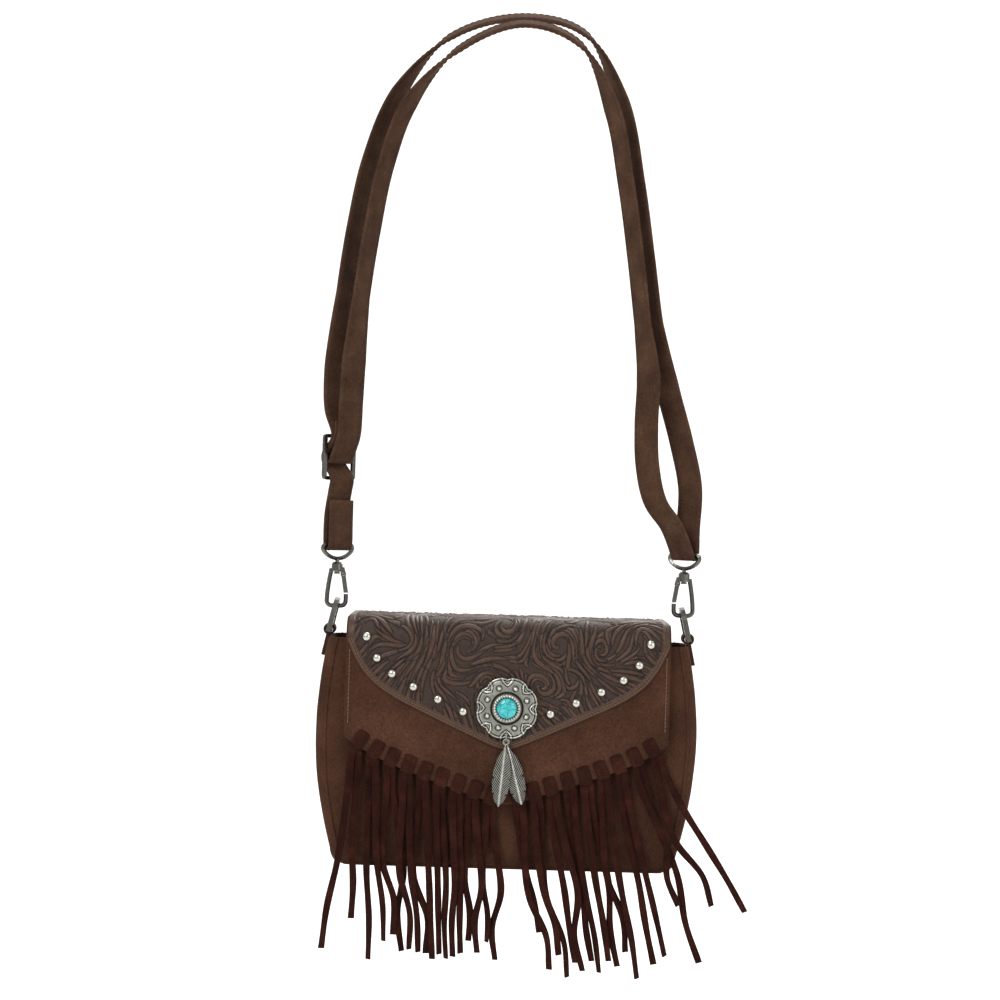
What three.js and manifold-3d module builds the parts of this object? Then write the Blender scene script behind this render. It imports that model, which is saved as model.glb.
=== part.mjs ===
// Fringed suede shoulder bag: soft body, tooled flap with concho, laced fringe, clip-on strap.
// Millimetres, +Z up, the bag's front faces -Y. The origin is where the strap hangs on a shoulder.
import * as THREE from 'three';
import { mergeVertices } from 'three/addons/utils/BufferGeometryUtils.js';
import Module from 'manifold-3d';

const wasm = await Module();
wasm.setup();

// Fits
const SEAT_GAP = 0.3;
const PIN_CLEARANCE = 0.2;
const LINK_CLEARANCE = 0.4;
const HOOK_CLEARANCE = 0.8;
const WEAVE_CLEARANCE = 1.9;

// Bag body, measured from the top of the closed flap
const HANG_HEIGHT = 402;
const BODY_TOP_WIDTH = 240;
const BODY_MID_WIDTH = 254.4;
const BODY_BOTTOM_WIDTH = 232;
const BODY_DEPTH = 56;
const BODY_TOP_Z = -16;
const BODY_BOTTOM_Z = -167;
const BODY_CORNER_RADIUS = 11;
const PANEL_THICKNESS = 2;
const LINING_THICKNESS = 1;

// Flap, overlay and the studs along its edge
const FLAP_WIDTH = 215;
const FLAP_THICKNESS = 2;
const FLAP_ROLL_RADIUS = 11;
const FLAP_STANDOFF = 5;
const FLAP_TIP_Z = -123;
const FLAP_EDGE_SLOPE = 0.34;
const FLAP_CORNER_RISE = 8;
const OVERLAY_THICKNESS = 1.8;
const OVERLAY_TIP_Z = -86.5;
const OVERLAY_EDGE_SLOPE = 0.46;
const OVERLAY_CORNER_RISE = 26;
const TIP_ROUNDING = 6;
const FLAP_LINING_THICKNESS = 1;
const FLAP_LINING_INSET = 16;
const STUD_RADIUS = 2.8;
const STUD_HEIGHT = 1.9;
const STUDS_PER_SIDE = 6;
const STUD_INNER_X = 34;
const STUD_END_INSET = 2;
const STUD_OUTER_X = FLAP_WIDTH / 2 - STUD_END_INSET;
const STUD_INSET = 12.5;

// Concho with its stone and screw
const CONCHO_Z = -58.8;
const CONCHO_RADIUS = 20.8;
const CONCHO_LOBES = 8;
const CONCHO_NOTCH = 1.7;
const CONCHO_STANDOFF = 1.6;
const CONCHO_RIM_HEIGHT = 1.8;
const CONCHO_RIM_WIDTH = 1.5;
const CONCHO_DOME_HEIGHT = 3.6;
const CONCHO_DOME_RADIUS = 16.4;
const BEAD_RADIUS = 1.45;
const BEAD_CIRCLE = 14;
const STONE_RADIUS = 6.8;
const STONE_HEIGHT = 3.4;
const BEZEL_WALL = 2.5;
const BEZEL_HEIGHT = 1.5;
const BEZEL_TEETH = 20;
const SCREW_RADIUS = 1.5;
const SCREW_HEAD_RADIUS = 4.2;
const SCREW_HEAD_HEIGHT = 1;

// Charm: jump ring and two feathers
const RING_HOLE_RADIUS = 1.5;
const RING_HOLE_OFFSET = 16.3;
const JUMP_RING_RADIUS = 3.2;
const JUMP_WIRE = 0.55;
const EYELET_RADIUS = 1.7;
const EYELET_WIRE = 0.5;
const FEATHER_LENGTH = 41;
const FEATHER_WIDTH = 12;
const FEATHER_THICKNESS = 1;
const FEATHER_SPACING = 1.7;
const FEATHER_LEANS = [-5, 15];

// Magnetic snap
const SNAP_Z = -92;
const SNAP_RADIUS = 8;
const SNAP_PLATE = 1.2;
const SNAP_NUB_RADIUS = 3;
const SNAP_NUB_CLEARANCE = 1.2;

// Laces and fringe
const LACES_PER_SIDE = 9;
const LACE_FIRST_X = 9.5;
const LACE_END_INSET = 8.8;
const LACE_PITCH = (FLAP_WIDTH / 2 - LACE_FIRST_X - LACE_END_INSET) / (LACES_PER_SIDE - 1);
const LACE_WIDTH = 8.6;
const LACE_THICKNESS = 1.2;
const LACE_SLOT_INSET = 9.5;
const TAIL_WIDTH = 4.1;
const TAIL_LAYER = 1.7;

// Where each pair of tails ends, [x, z] and [x, z], from the tip of the flap to its corner
const LEFT_TAIL_ENDS = [
  [[-3, -226], [-9, -214]], [[-15, -221], [-21, -214]], [[-26, -222], [-31, -224]],
  [[-35.5, -226], [-40, -223]], [[-44.5, -226], [-49, -223]], [[-54, -222], [-60, -220]],
  [[-65, -222], [-71, -211]], [[-77, -215], [-87, -228]], [[-99, -201], [-118, -221]],
];
const RIGHT_TAIL_ENDS = [
  [[26, -207], [33, -231]], [[39, -221], [45, -236]], [[50, -226], [55, -231]],
  [[61, -225], [66, -232]], [[72, -224], [78, -228]], [[83, -218], [91, -235]],
  [[102, -226], [109, -220]], [[117, -186], [132, -224]], [[139, -186], [161, -189]],
];

// Side tabs and D-rings
const TAB_WIDTH = 15;
const TAB_THICKNESS = 2.4;
const TAB_LENGTH = 18;
const TAB_LOOP_WALL = 1.3;
const D_RING_WIDTH = 24;
const D_RING_REACH = 20;
const D_RING_BAND = 3.4;
const D_RING_LEAN = 13;
const D_RING_CLEARANCE = 0.25;

// Swivel clips
const CLIP_WIRE = 1.6;
const CLIP_EYE_RADIUS = 6.4;
const CLIP_CORNER_RADIUS = 3.2;
const CLIP_EYE_HEIGHT = 23;
const BARREL_RADIUS = 3.8;
const BARREL_HEIGHT = 6.5;
const POST_RADIUS = 1.4;
const POST_HEAD_RADIUS = 2;
const POST_HEAD_HEIGHT = 1.2;
const GATE_THICKNESS = 2.6;
const GATE_RADIUS = 1.5;
const GATE_TIP_GAP = 0.8;
const GATE_PIVOT_X = 4.4;
const GATE_PIVOT_Z = 21.2;
const GATE_PIN_RADIUS = 0.8;
const EAR_THICKNESS = 1.1;
const NOSE_HEIGHT = 8;
const LOOP_WIRE = 1.5;
const LOOP_HEIGHT = 11;
const LOOP_TURN = 38;

// Strap and slider
const STRAP_WIDTH = 19;
const STRAP_THICKNESS = 2.2;
const STRAP_SIDE_CLEARANCE = 0.8;
const SLIDER_Z = 104;
const SLIDER_LENGTH = 31;
const SLIDER_BAR = 2.6;
const SLIDER_THICKNESS = 2.4;
const SECTION_STEP = 9;

// Materials
const FINISHES = {
  suede: { color: 0x54382a, roughness: 0.95, metalness: 0 },
  tooled: { color: 0x422f24, roughness: 0.55, metalness: 0 },
  lace: { color: 0x3c1c16, roughness: 0.9, metalness: 0 },
  strap: { color: 0x5a3e2d, roughness: 0.75, metalness: 0 },
  lining: { color: 0x2c2119, roughness: 0.9, metalness: 0 },
  silver: { color: 0xb9b8b0, roughness: 0.35, metalness: 1 },
  gunmetal: { color: 0x4a4946, roughness: 0.35, metalness: 1 },
  stone: { color: 0x2bb1b7, roughness: 0.3, metalness: 0 },
};

// Derived places
const frontFace = -BODY_DEPTH / 2;
const flapInner = frontFace - FLAP_STANDOFF;
const overlayFrom = FLAP_THICKNESS + SEAT_GAP;
const overlayTo = overlayFrom + OVERLAY_THICKNESS;
const rollCentreY = flapInner + FLAP_ROLL_RADIUS;
const flapTopZ = -overlayTo;
const rollCentreZ = flapTopZ - FLAP_ROLL_RADIUS;
const topRun = BODY_DEPTH / 2 - rollCentreY;
const rollRun = FLAP_ROLL_RADIUS * Math.PI / 2;
const liningFrom = -SEAT_GAP - FLAP_LINING_THICKNESS;
const halfFlap = FLAP_WIDTH / 2;
const radians = THREE.MathUtils.degToRad;
const vec = (x, y, z) => new THREE.Vector3(x, y, z);

const bag = new THREE.Group();
bag.position.z = -HANG_HEIGHT;
const object = new THREE.Group();
object.add(bag);

// Solids
function solid(geometry) {
  const bare = geometry.clone();
  bare.deleteAttribute('normal');
  bare.deleteAttribute('uv');
  const merged = mergeVertices(bare, 1e-4);
  const mesh = new wasm.Mesh({
    numProp: 3,
    vertProperties: new Float32Array(merged.attributes.position.array),
    triVerts: new Uint32Array(merged.index.array),
  });
  return new wasm.Manifold(mesh);
}

function geometryOf(body) {
  const mesh = body.getMesh();
  const geometry = new THREE.BufferGeometry();
  geometry.setAttribute('position', new THREE.Float32BufferAttribute(mesh.vertProperties, 3));
  geometry.setIndex(Array.from(mesh.triVerts));
  return geometry;
}

const join = (first, ...others) => geometryOf(others.reduce((sum, item) => sum.add(solid(item)), solid(first)));
const cut = (first, ...others) => geometryOf(others.reduce((rest, item) => rest.subtract(solid(item)), solid(first)));

function piece(name, geometry, finish, parent = bag) {
  const shown = geometry.clone();
  shown.computeVertexNormals();
  const mesh = new THREE.Mesh(shown, new THREE.MeshStandardMaterial(FINISHES[finish]));
  mesh.name = name;
  parent.add(mesh);
  return mesh;
}

function shifted(geometry, x, y, z) {
  return geometry.clone().translate(x, y, z);
}

// A closed mesh from its corners, turned so that its faces point out
function indexed(points, triangles) {
  let volume = 0;
  for (let i = 0; i < triangles.length; i += 3) {
    const [a, b, c] = [points[triangles[i]], points[triangles[i + 1]], points[triangles[i + 2]]];
    volume += a.dot(new THREE.Vector3().crossVectors(b, c));
  }
  if (volume < 0) {
    triangles.reverse();
  }
  const geometry = new THREE.BufferGeometry();
  geometry.setAttribute('position', new THREE.Float32BufferAttribute(points.flatMap((p) => [p.x, p.y, p.z]), 3));
  geometry.setIndex(triangles);
  return geometry;
}

// A closed skin over rings of equal length, capped at both ends unless the rings close on themselves
function loft(rings, closed = false) {
  const sides = rings[0].length;
  const triangles = [];
  const joints = closed ? rings.length : rings.length - 1;
  for (let i = 0; i < joints; i += 1) {
    for (let j = 0; j < sides; j += 1) {
      const a = i * sides + j;
      const b = i * sides + (j + 1) % sides;
      const c = ((i + 1) % rings.length) * sides + (j + 1) % sides;
      const d = ((i + 1) % rings.length) * sides + j;
      triangles.push(a, b, c, a, c, d);
    }
  }
  if (!closed) {
    const last = (rings.length - 1) * sides;
    for (let j = 1; j < sides - 1; j += 1) {
      triangles.push(0, j + 1, j);
      triangles.push(last, last + j, last + j + 1);
    }
  }
  return indexed(rings.flat(), triangles);
}

// A round wire along a plane curve; side is the direction across the plane
function wire(curve, radius, steps, side, closed = false, sides = 8) {
  const rings = [];
  const count = closed ? steps : steps + 1;
  for (let i = 0; i < count; i += 1) {
    const centre = curve.getPoint(i / steps);
    const normal = new THREE.Vector3().crossVectors(side, curve.getTangent(i / steps)).normalize();
    const ring = [];
    for (let j = 0; j < sides; j += 1) {
      const turn = (j + 0.5) / sides * 2 * Math.PI;
      const offset = normal.clone().multiplyScalar(Math.cos(turn) * radius);
      ring.push(centre.clone().add(offset).addScaledVector(side, -Math.sin(turn) * radius));
    }
    rings.push(ring);
  }
  return loft(rings, closed);
}

// A flat band through points, with its width along the given directions
function band(points, widths, width, thickness, step) {
  const curve = new THREE.CatmullRomCurve3(points, false, 'centripetal');
  const rings = [];
  const spans = points.length - 1;
  for (let i = 0; i < spans; i += 1) {
    const count = Math.max(1, Math.round(points[i].distanceTo(points[i + 1]) / step));
    for (let k = 0; k < count + (i === spans - 1 ? 1 : 0); k += 1) {
      const share = k / count;
      const at = (i + share) / spans;
      const along = curve.getTangent(at);
      const across = widths[i].clone().lerp(widths[i + 1], share);
      across.addScaledVector(along, -across.dot(along)).normalize().multiplyScalar(width / 2);
      const up = new THREE.Vector3().crossVectors(along, across).normalize().multiplyScalar(thickness / 2);
      const centre = curve.getPoint(at);
      rings.push([[1, 1], [-1, 1], [-1, -1], [1, -1]].map(([a, b]) => (
        centre.clone().addScaledVector(across, a).addScaledVector(up, b))));
    }
  }
  return loft(rings);
}

// Turns shapes drawn in XY to face front (y up, depth towards -Y) or side (x along Y, depth along X)
const frontwards = new THREE.Matrix4().makeBasis(vec(1, 0, 0), vec(0, 0, 1), vec(0, -1, 0));
const sidewards = new THREE.Matrix4().makeBasis(vec(0, 1, 0), vec(0, 0, 1), vec(1, 0, 0));

function extruded(shape, depth, curveSegments = 8) {
  return new THREE.ExtrudeGeometry(shape, { depth, bevelEnabled: false, curveSegments });
}

function disc(radius, depth, segments = 20) {
  return new THREE.CylinderGeometry(radius, radius, depth, segments).rotateX(Math.PI / 2).translate(0, 0, depth / 2);
}

// Body outline, drawn in at each edge by inset
function bodyCurve(inset) {
  const top = BODY_TOP_WIDTH / 2 - inset;
  const bottom = BODY_BOTTOM_WIDTH / 2 - inset;
  const bulge = BODY_MID_WIDTH - (BODY_TOP_WIDTH + BODY_BOTTOM_WIDTH) / 4 - inset;
  const base = BODY_BOTTOM_Z + inset;
  const corner = BODY_CORNER_RADIUS - inset;
  const middle = (BODY_TOP_Z + BODY_BOTTOM_Z) / 2;
  const path = new THREE.Path();
  path.moveTo(-top, BODY_TOP_Z);
  path.quadraticCurveTo(-bulge, middle, -bottom, base + corner);
  path.quadraticCurveTo(-bottom, base, -bottom + corner, base);
  path.lineTo(bottom - corner, base);
  path.quadraticCurveTo(bottom, base, bottom, base + corner);
  path.quadraticCurveTo(bulge, middle, top, BODY_TOP_Z);
  return path.getPoints(9);
}

function buildBody() {
  const panel = extruded(new THREE.Shape(bodyCurve(0)), PANEL_THICKNESS).applyMatrix4(frontwards);
  piece('front_panel', shifted(panel, 0, frontFace + PANEL_THICKNESS, 0), 'suede');
  const backTop = new THREE.Vector2(halfFlap - SEAT_GAP, flapTopZ - SEAT_GAP);
  const backOutline = [...bodyCurve(0), backTop, new THREE.Vector2(-backTop.x, backTop.y)];
  const back = extruded(new THREE.Shape(backOutline), PANEL_THICKNESS).applyMatrix4(frontwards);
  piece('back_panel', shifted(back, 0, -frontFace, 0), 'suede');

  const strip = new THREE.Shape([...bodyCurve(0), ...bodyCurve(PANEL_THICKNESS).reverse()]);
  const depth = BODY_DEPTH - 2 * (PANEL_THICKNESS + SEAT_GAP);
  piece('gusset', extruded(strip, depth).applyMatrix4(frontwards).translate(0, depth / 2, 0), 'suede');

  const outer = PANEL_THICKNESS + SEAT_GAP;
  const inner = outer + LINING_THICKNESS;
  const hollow = depth - 2 * LINING_THICKNESS;
  const shell = extruded(new THREE.Shape(bodyCurve(outer)), depth).applyMatrix4(frontwards).translate(0, depth / 2, 0);
  const roomPoints = bodyCurve(inner);
  roomPoints[0].y = 0;
  roomPoints[roomPoints.length - 1].y = 0;
  const room = extruded(new THREE.Shape(roomPoints), hollow).applyMatrix4(frontwards).translate(0, hollow / 2, 0);
  piece('lining', cut(shell, room), 'lining');
}

// Lower edges of the flap and of the overlay, as heights over the half width
const softened = (x) => Math.hypot(x, TIP_ROUNDING) - TIP_ROUNDING;
const flapEdge = (x) => FLAP_TIP_Z + FLAP_EDGE_SLOPE * softened(x)
  + FLAP_CORNER_RISE * (Math.abs(x) / halfFlap) ** 6;
const overlayEdge = (x) => OVERLAY_TIP_Z + OVERLAY_EDGE_SLOPE * softened(x)
  + OVERLAY_CORNER_RISE * (Math.abs(x) / halfFlap) ** 10;

// A point of the bent flap: run along the inner face from the back, and height off that face
function flapPoint(x, run, height) {
  if (run <= topRun) {
    return vec(x, BODY_DEPTH / 2 - run, flapTopZ + height);
  }
  const turn = Math.min(run - topRun, rollRun) / FLAP_ROLL_RADIUS;
  const radius = FLAP_ROLL_RADIUS + height;
  const below = Math.max(0, run - topRun - rollRun);
  return vec(x, rollCentreY - radius * Math.sin(turn), rollCentreZ + radius * Math.cos(turn) - below);
}

// Run at which the outer face reaches a height on the front of the flap
function runAt(z) {
  const outer = FLAP_ROLL_RADIUS + overlayTo;
  const rise = Math.max(0, z - rollCentreZ) / outer;
  return topRun + FLAP_ROLL_RADIUS * Math.acos(Math.min(1, rise)) + Math.max(0, rollCentreZ - z);
}

// A sheet that follows the flap's bend, from a back run down to an edge
function bentSheet(edge, halfWidth, backRun, from, to) {
  const columns = 20;
  const rollSteps = 4;
  const frontSteps = 2;
  const rows = [];
  for (let i = 0; i <= columns; i += 1) {
    const x = (i / columns * 2 - 1) * halfWidth;
    const end = runAt(edge(x));
    const runs = [backRun, topRun];
    for (let k = 1; k <= rollSteps; k += 1) {
      runs.push(topRun + Math.min(rollRun, end - topRun) * k / rollSteps);
    }
    const start = runs[runs.length - 1];
    for (let k = 1; k <= frontSteps; k += 1) {
      runs.push(start + Math.max(0.02, end - start) * k / frontSteps);
    }
    const outer = runs.map((run) => flapPoint(x, run, to));
    const inner = runs.map((run) => flapPoint(x, run, from)).reverse();
    rows.push([...outer, ...inner]);
  }
  const sides = rows[0].length;
  const half = sides / 2;
  const triangles = [];
  for (let i = 0; i < columns; i += 1) {
    for (let j = 0; j < sides; j += 1) {
      const a = i * sides + j;
      const b = i * sides + (j + 1) % sides;
      triangles.push(a, b, b + sides, a, b + sides, a + sides);
    }
  }
  for (let j = 0; j < half - 1; j += 1) {
    const near = [j, j + 1, sides - 2 - j, sides - 1 - j];
    const far = near.map((index) => index + columns * sides);
    triangles.push(near[0], near[2], near[1], near[0], near[3], near[2]);
    triangles.push(far[0], far[1], far[2], far[0], far[2], far[3]);
  }
  return indexed(rows.flat(), triangles);
}

// Each lace's place on the flap's edge: point, direction along the edge and direction into the flap
function laceFrame(side, index) {
  const x = side * (LACE_FIRST_X + LACE_PITCH * index);
  const along = vec(1, 0, flapEdge(x + 0.5) - flapEdge(x - 0.5)).normalize();
  const inward = vec(-along.z, 0, along.x);
  return { point: vec(x, flapInner, flapEdge(x)), along, inward };
}

function laceMatrix(frame) {
  return new THREE.Matrix4().makeBasis(frame.along, frame.inward, vec(0, -1, 0)).setPosition(frame.point);
}

function allLaces() {
  const list = [];
  for (const side of [-1, 1]) {
    for (let index = 0; index < LACES_PER_SIDE; index += 1) {
      const ends = (side < 0 ? LEFT_TAIL_ENDS : RIGHT_TAIL_ENDS)[index];
      list.push({ side, index, ends, frame: laceFrame(side, index) });
    }
  }
  return list;
}

function buildFlap() {
  const slots = allLaces().map(({ frame }) => {
    const height = LACE_THICKNESS + 2 * SEAT_GAP;
    const slot = new THREE.BoxGeometry(LACE_WIDTH + 2 * SEAT_GAP, height, FLAP_THICKNESS * 3);
    slot.translate(0, LACE_SLOT_INSET + LACE_THICKNESS / 2, 0);
    return slot.applyMatrix4(laceMatrix(frame));
  });
  const screwHole = disc(SCREW_RADIUS + PIN_CLEARANCE, FLAP_STANDOFF * 4).applyMatrix4(frontwards);
  screwHole.translate(0, frontFace, CONCHO_Z);
  piece('flap_panel', cut(bentSheet(flapEdge, halfFlap, 0, 0, FLAP_THICKNESS), ...slots, screwHole), 'suede');

  const liningEdge = (x) => flapEdge(x) + FLAP_LINING_INSET;
  const liningBack = PANEL_THICKNESS + LINING_THICKNESS + FLAP_STANDOFF;
  const flapLining = bentSheet(liningEdge, halfFlap - 4, liningBack, liningFrom, -SEAT_GAP);
  piece('flap_lining', cut(flapLining, screwHole), 'lining');

  const overlay = bentSheet(overlayEdge, halfFlap - 1, 1, overlayFrom, overlayTo);
  piece('tooled_overlay', cut(overlay, screwHole), 'tooled');
}

function buildStuds() {
  const profile = new THREE.SplineCurve([
    new THREE.Vector2(STUD_RADIUS, 0.4), new THREE.Vector2(STUD_RADIUS * 0.75, STUD_HEIGHT * 0.75),
    new THREE.Vector2(0, STUD_HEIGHT),
  ]).getPoints(3);
  profile[3].x = 0;
  const dome = new THREE.LatheGeometry([new THREE.Vector2(0, 0), new THREE.Vector2(STUD_RADIUS, 0), ...profile], 9);
  const edgePoints = [];
  for (let x = STUD_INNER_X; x <= STUD_OUTER_X; x += (STUD_OUTER_X - STUD_INNER_X) / 20) {
    edgePoints.push(new THREE.Vector2(x, overlayEdge(x)));
  }
  const studLine = new THREE.SplineCurve(edgePoints);
  for (let i = 0; i < 2 * STUDS_PER_SIDE; i += 1) {
    const side = i < STUDS_PER_SIDE ? -1 : 1;
    const x = side * studLine.getPointAt((i % STUDS_PER_SIDE) / (STUDS_PER_SIDE - 1)).x;
    const slope = (overlayEdge(x + 0.5) - overlayEdge(x - 0.5));
    const away = Math.hypot(1, slope);
    const run = runAt(overlayEdge(x) + STUD_INSET / away);
    const seat = flapPoint(x - slope * STUD_INSET / away, run, overlayTo + SEAT_GAP);
    const foot = flapPoint(seat.x, run, overlayTo);
    const stud = piece(`stud_${String(i + 1).padStart(2, '0')}`, dome, 'silver');
    stud.position.copy(seat);
    stud.quaternion.setFromUnitVectors(vec(0, 1, 0), seat.clone().sub(foot).normalize());
  }
}

// Outline with round lobes and pointed notches between them
function lobedPoints(inset, steps) {
  const points = [];
  for (let i = 0; i < steps; i += 1) {
    const turn = i / steps * 2 * Math.PI;
    const lobe = Math.abs(Math.sin(turn * CONCHO_LOBES / 2)) ** 0.7;
    const radius = CONCHO_RADIUS - inset - CONCHO_NOTCH * (1 - lobe);
    points.push(new THREE.Vector2(radius * Math.cos(turn), radius * Math.sin(turn)));
  }
  return points;
}

function toothedRing(radius, hole, teeth) {
  const points = [];
  for (let i = 0; i < teeth * 2; i += 1) {
    const turn = i / teeth * Math.PI;
    const reach = radius - (i % 2) * 0.6;
    points.push(new THREE.Vector2(reach * Math.cos(turn), reach * Math.sin(turn)));
  }
  const shape = new THREE.Shape(points);
  shape.holes.push(new THREE.Path().absarc(0, 0, hole, 0, 2 * Math.PI, true));
  return shape;
}

function buildConcho() {
  const concho = new THREE.Group();
  concho.position.set(0, flapInner - overlayTo - SEAT_GAP, CONCHO_Z);
  concho.rotation.x = Math.PI / 2;
  bag.add(concho);

  const steps = CONCHO_LOBES * 6;
  const rim = extruded(new THREE.Shape(lobedPoints(0, steps)), CONCHO_RIM_HEIGHT);
  const dish = extruded(new THREE.Shape(lobedPoints(CONCHO_RIM_WIDTH, steps)), CONCHO_RIM_HEIGHT);
  const plate = cut(rim.translate(0, 0, CONCHO_STANDOFF), dish.translate(0, 0, CONCHO_STANDOFF + CONCHO_RIM_HEIGHT / 2));
  const slopeRadius = CONCHO_DOME_RADIUS - BEZEL_WALL;
  const dome = new THREE.LatheGeometry([
    new THREE.Vector2(0, 0), new THREE.Vector2(SNAP_RADIUS, 0), new THREE.Vector2(SNAP_RADIUS, CONCHO_STANDOFF),
    new THREE.Vector2(CONCHO_DOME_RADIUS, CONCHO_STANDOFF + 0.2),
    new THREE.Vector2(CONCHO_DOME_RADIUS, CONCHO_STANDOFF + CONCHO_RIM_HEIGHT / 2 + 0.2),
    new THREE.Vector2(slopeRadius, CONCHO_DOME_HEIGHT - 0.5),
    new THREE.Vector2(STONE_RADIUS, CONCHO_DOME_HEIGHT), new THREE.Vector2(0, CONCHO_DOME_HEIGHT),
  ], 24).rotateX(Math.PI / 2);
  const stoneHole = STONE_RADIUS + PIN_CLEARANCE;
  const bezel = extruded(toothedRing(stoneHole + BEZEL_WALL, stoneHole, BEZEL_TEETH), BEZEL_HEIGHT + 0.4);
  bezel.translate(0, 0, CONCHO_DOME_HEIGHT - 0.4);
  const beads = [];
  for (let i = 0; i < CONCHO_LOBES; i += 1) {
    const turn = (i + 0.5) / CONCHO_LOBES * 2 * Math.PI;
    const bead = new THREE.SphereGeometry(BEAD_RADIUS, 8, 4);
    beads.push(bead.translate(BEAD_CIRCLE * Math.cos(turn), BEAD_CIRCLE * Math.sin(turn), CONCHO_DOME_HEIGHT - 0.9));
  }
  const ringHole = disc(RING_HOLE_RADIUS, CONCHO_DOME_HEIGHT * 2, 12).translate(0, -RING_HOLE_OFFSET, 0);
  const screwDepth = CONCHO_DOME_HEIGHT - 1;
  const screwHole = disc(SCREW_RADIUS + PIN_CLEARANCE, screwDepth + 1, 16).translate(0, 0, -1);
  piece('concho_plate', cut(join(plate, dome, bezel, ...beads), ringHole, screwHole), 'silver', concho);

  const crown = new THREE.EllipseCurve(0, 0, STONE_RADIUS, STONE_HEIGHT, 0, Math.PI / 2).getPoints(5);
  crown[5].x = 0;
  const stone = new THREE.LatheGeometry([new THREE.Vector2(0, 0), ...crown], 20).rotateX(Math.PI / 2);
  piece('turquoise_stone', stone.translate(0, 0, CONCHO_DOME_HEIGHT + SEAT_GAP), 'stone', concho);

  const headTop = -(overlayTo - liningFrom) - 2 * SEAT_GAP;
  const shank = disc(SCREW_RADIUS, screwDepth - SEAT_GAP - headTop, 16).translate(0, 0, headTop);
  const head = disc(SCREW_HEAD_RADIUS, SCREW_HEAD_HEIGHT, 16).translate(0, 0, headTop - SCREW_HEAD_HEIGHT + 0.05);
  piece('concho_screw', join(shank, head), 'gunmetal', concho);
  buildCharm(concho);
}

// Half outline of a feather: narrow quill, full vane with two nicks, rounded point
function featherShape() {
  const w = FEATHER_WIDTH / 2;
  const l = FEATHER_LENGTH;
  const side = (sign) => [
    [0.6, 0], [0.35 * w, -0.06 * l], [0.8 * w, -0.25 * l], [w, -0.46 * l],
    [0.98 * w, -0.54 * l], [0.62 * w, -0.55 * l], [w, -0.68 * l], [0.86 * w, -0.84 * l],
    [0.56 * w, -0.83 * l], [0.5 * w, -0.94 * l],
  ].map(([x, y]) => new THREE.Vector2(sign * x, y));
  return new THREE.Shape([...side(-1), new THREE.Vector2(0, -l), ...side(1).reverse()]);
}

function buildCharm(concho) {
  const wall = CONCHO_RADIUS - CONCHO_NOTCH - RING_HOLE_OFFSET - RING_HOLE_RADIUS;
  const ringY = -RING_HOLE_OFFSET - RING_HOLE_RADIUS - wall / 2;
  const ringOut = JUMP_RING_RADIUS + JUMP_WIRE + 0.2;
  const circle = new THREE.CatmullRomCurve3(
    [0, 1, 2, 3, 4, 5, 6, 7].map((i) => vec(0, ringY + JUMP_RING_RADIUS * Math.cos(i * Math.PI / 4),
      ringOut + JUMP_RING_RADIUS * Math.sin(i * Math.PI / 4))), true);
  piece('jump_ring', wire(circle, JUMP_WIRE, 16, vec(1, 0, 0), true, 6), 'silver', concho);

  const hangY = ringY - JUMP_RING_RADIUS + JUMP_WIRE + EYELET_WIRE + SEAT_GAP;
  ['feather_left', 'feather_right'].forEach((name, i) => {
    const vane = extruded(featherShape(), FEATHER_THICKNESS).translate(0, -2 * EYELET_RADIUS, -FEATHER_THICKNESS / 2);
    const quill = disc(0.55, FEATHER_LENGTH * 0.92, 6).rotateX(Math.PI / 2);
    quill.translate(0, -2 * EYELET_RADIUS + 0.2, FEATHER_THICKNESS / 2 - 0.1);
    const eyelet = new THREE.TorusGeometry(EYELET_RADIUS, EYELET_WIRE, 6, 14).translate(0, -EYELET_RADIUS, 0);
    const feather = piece(name, join(vane, quill, eyelet), 'silver', concho);
    feather.position.set(0, hangY, ringOut + (0.5 - i) * FEATHER_SPACING);
    feather.rotation.z = radians(FEATHER_LEANS[i]);
  });
}

function buildSnap() {
  const snap = new THREE.Group();
  snap.position.set(0, frontFace - SEAT_GAP, SNAP_Z);
  snap.rotation.x = Math.PI / 2;
  bag.add(snap);
  const cup = SNAP_NUB_RADIUS + SNAP_NUB_CLEARANCE;
  const socket = cut(disc(SNAP_RADIUS, SNAP_PLATE), disc(cup, SNAP_PLATE).translate(0, 0, 0.4));
  piece('snap_socket', socket, 'gunmetal', snap);

  const face = FLAP_STANDOFF + liningFrom - 2 * SEAT_GAP;
  const plate = disc(SNAP_RADIUS, SNAP_PLATE).translate(0, 0, face - SNAP_PLATE);
  const nubFoot = 0.4 + SEAT_GAP;
  const nub = disc(SNAP_NUB_RADIUS, face - nubFoot - 0.2).translate(0, 0, nubFoot);
  piece('snap_stud', join(plate, nub), 'gunmetal', snap);
}

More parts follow.
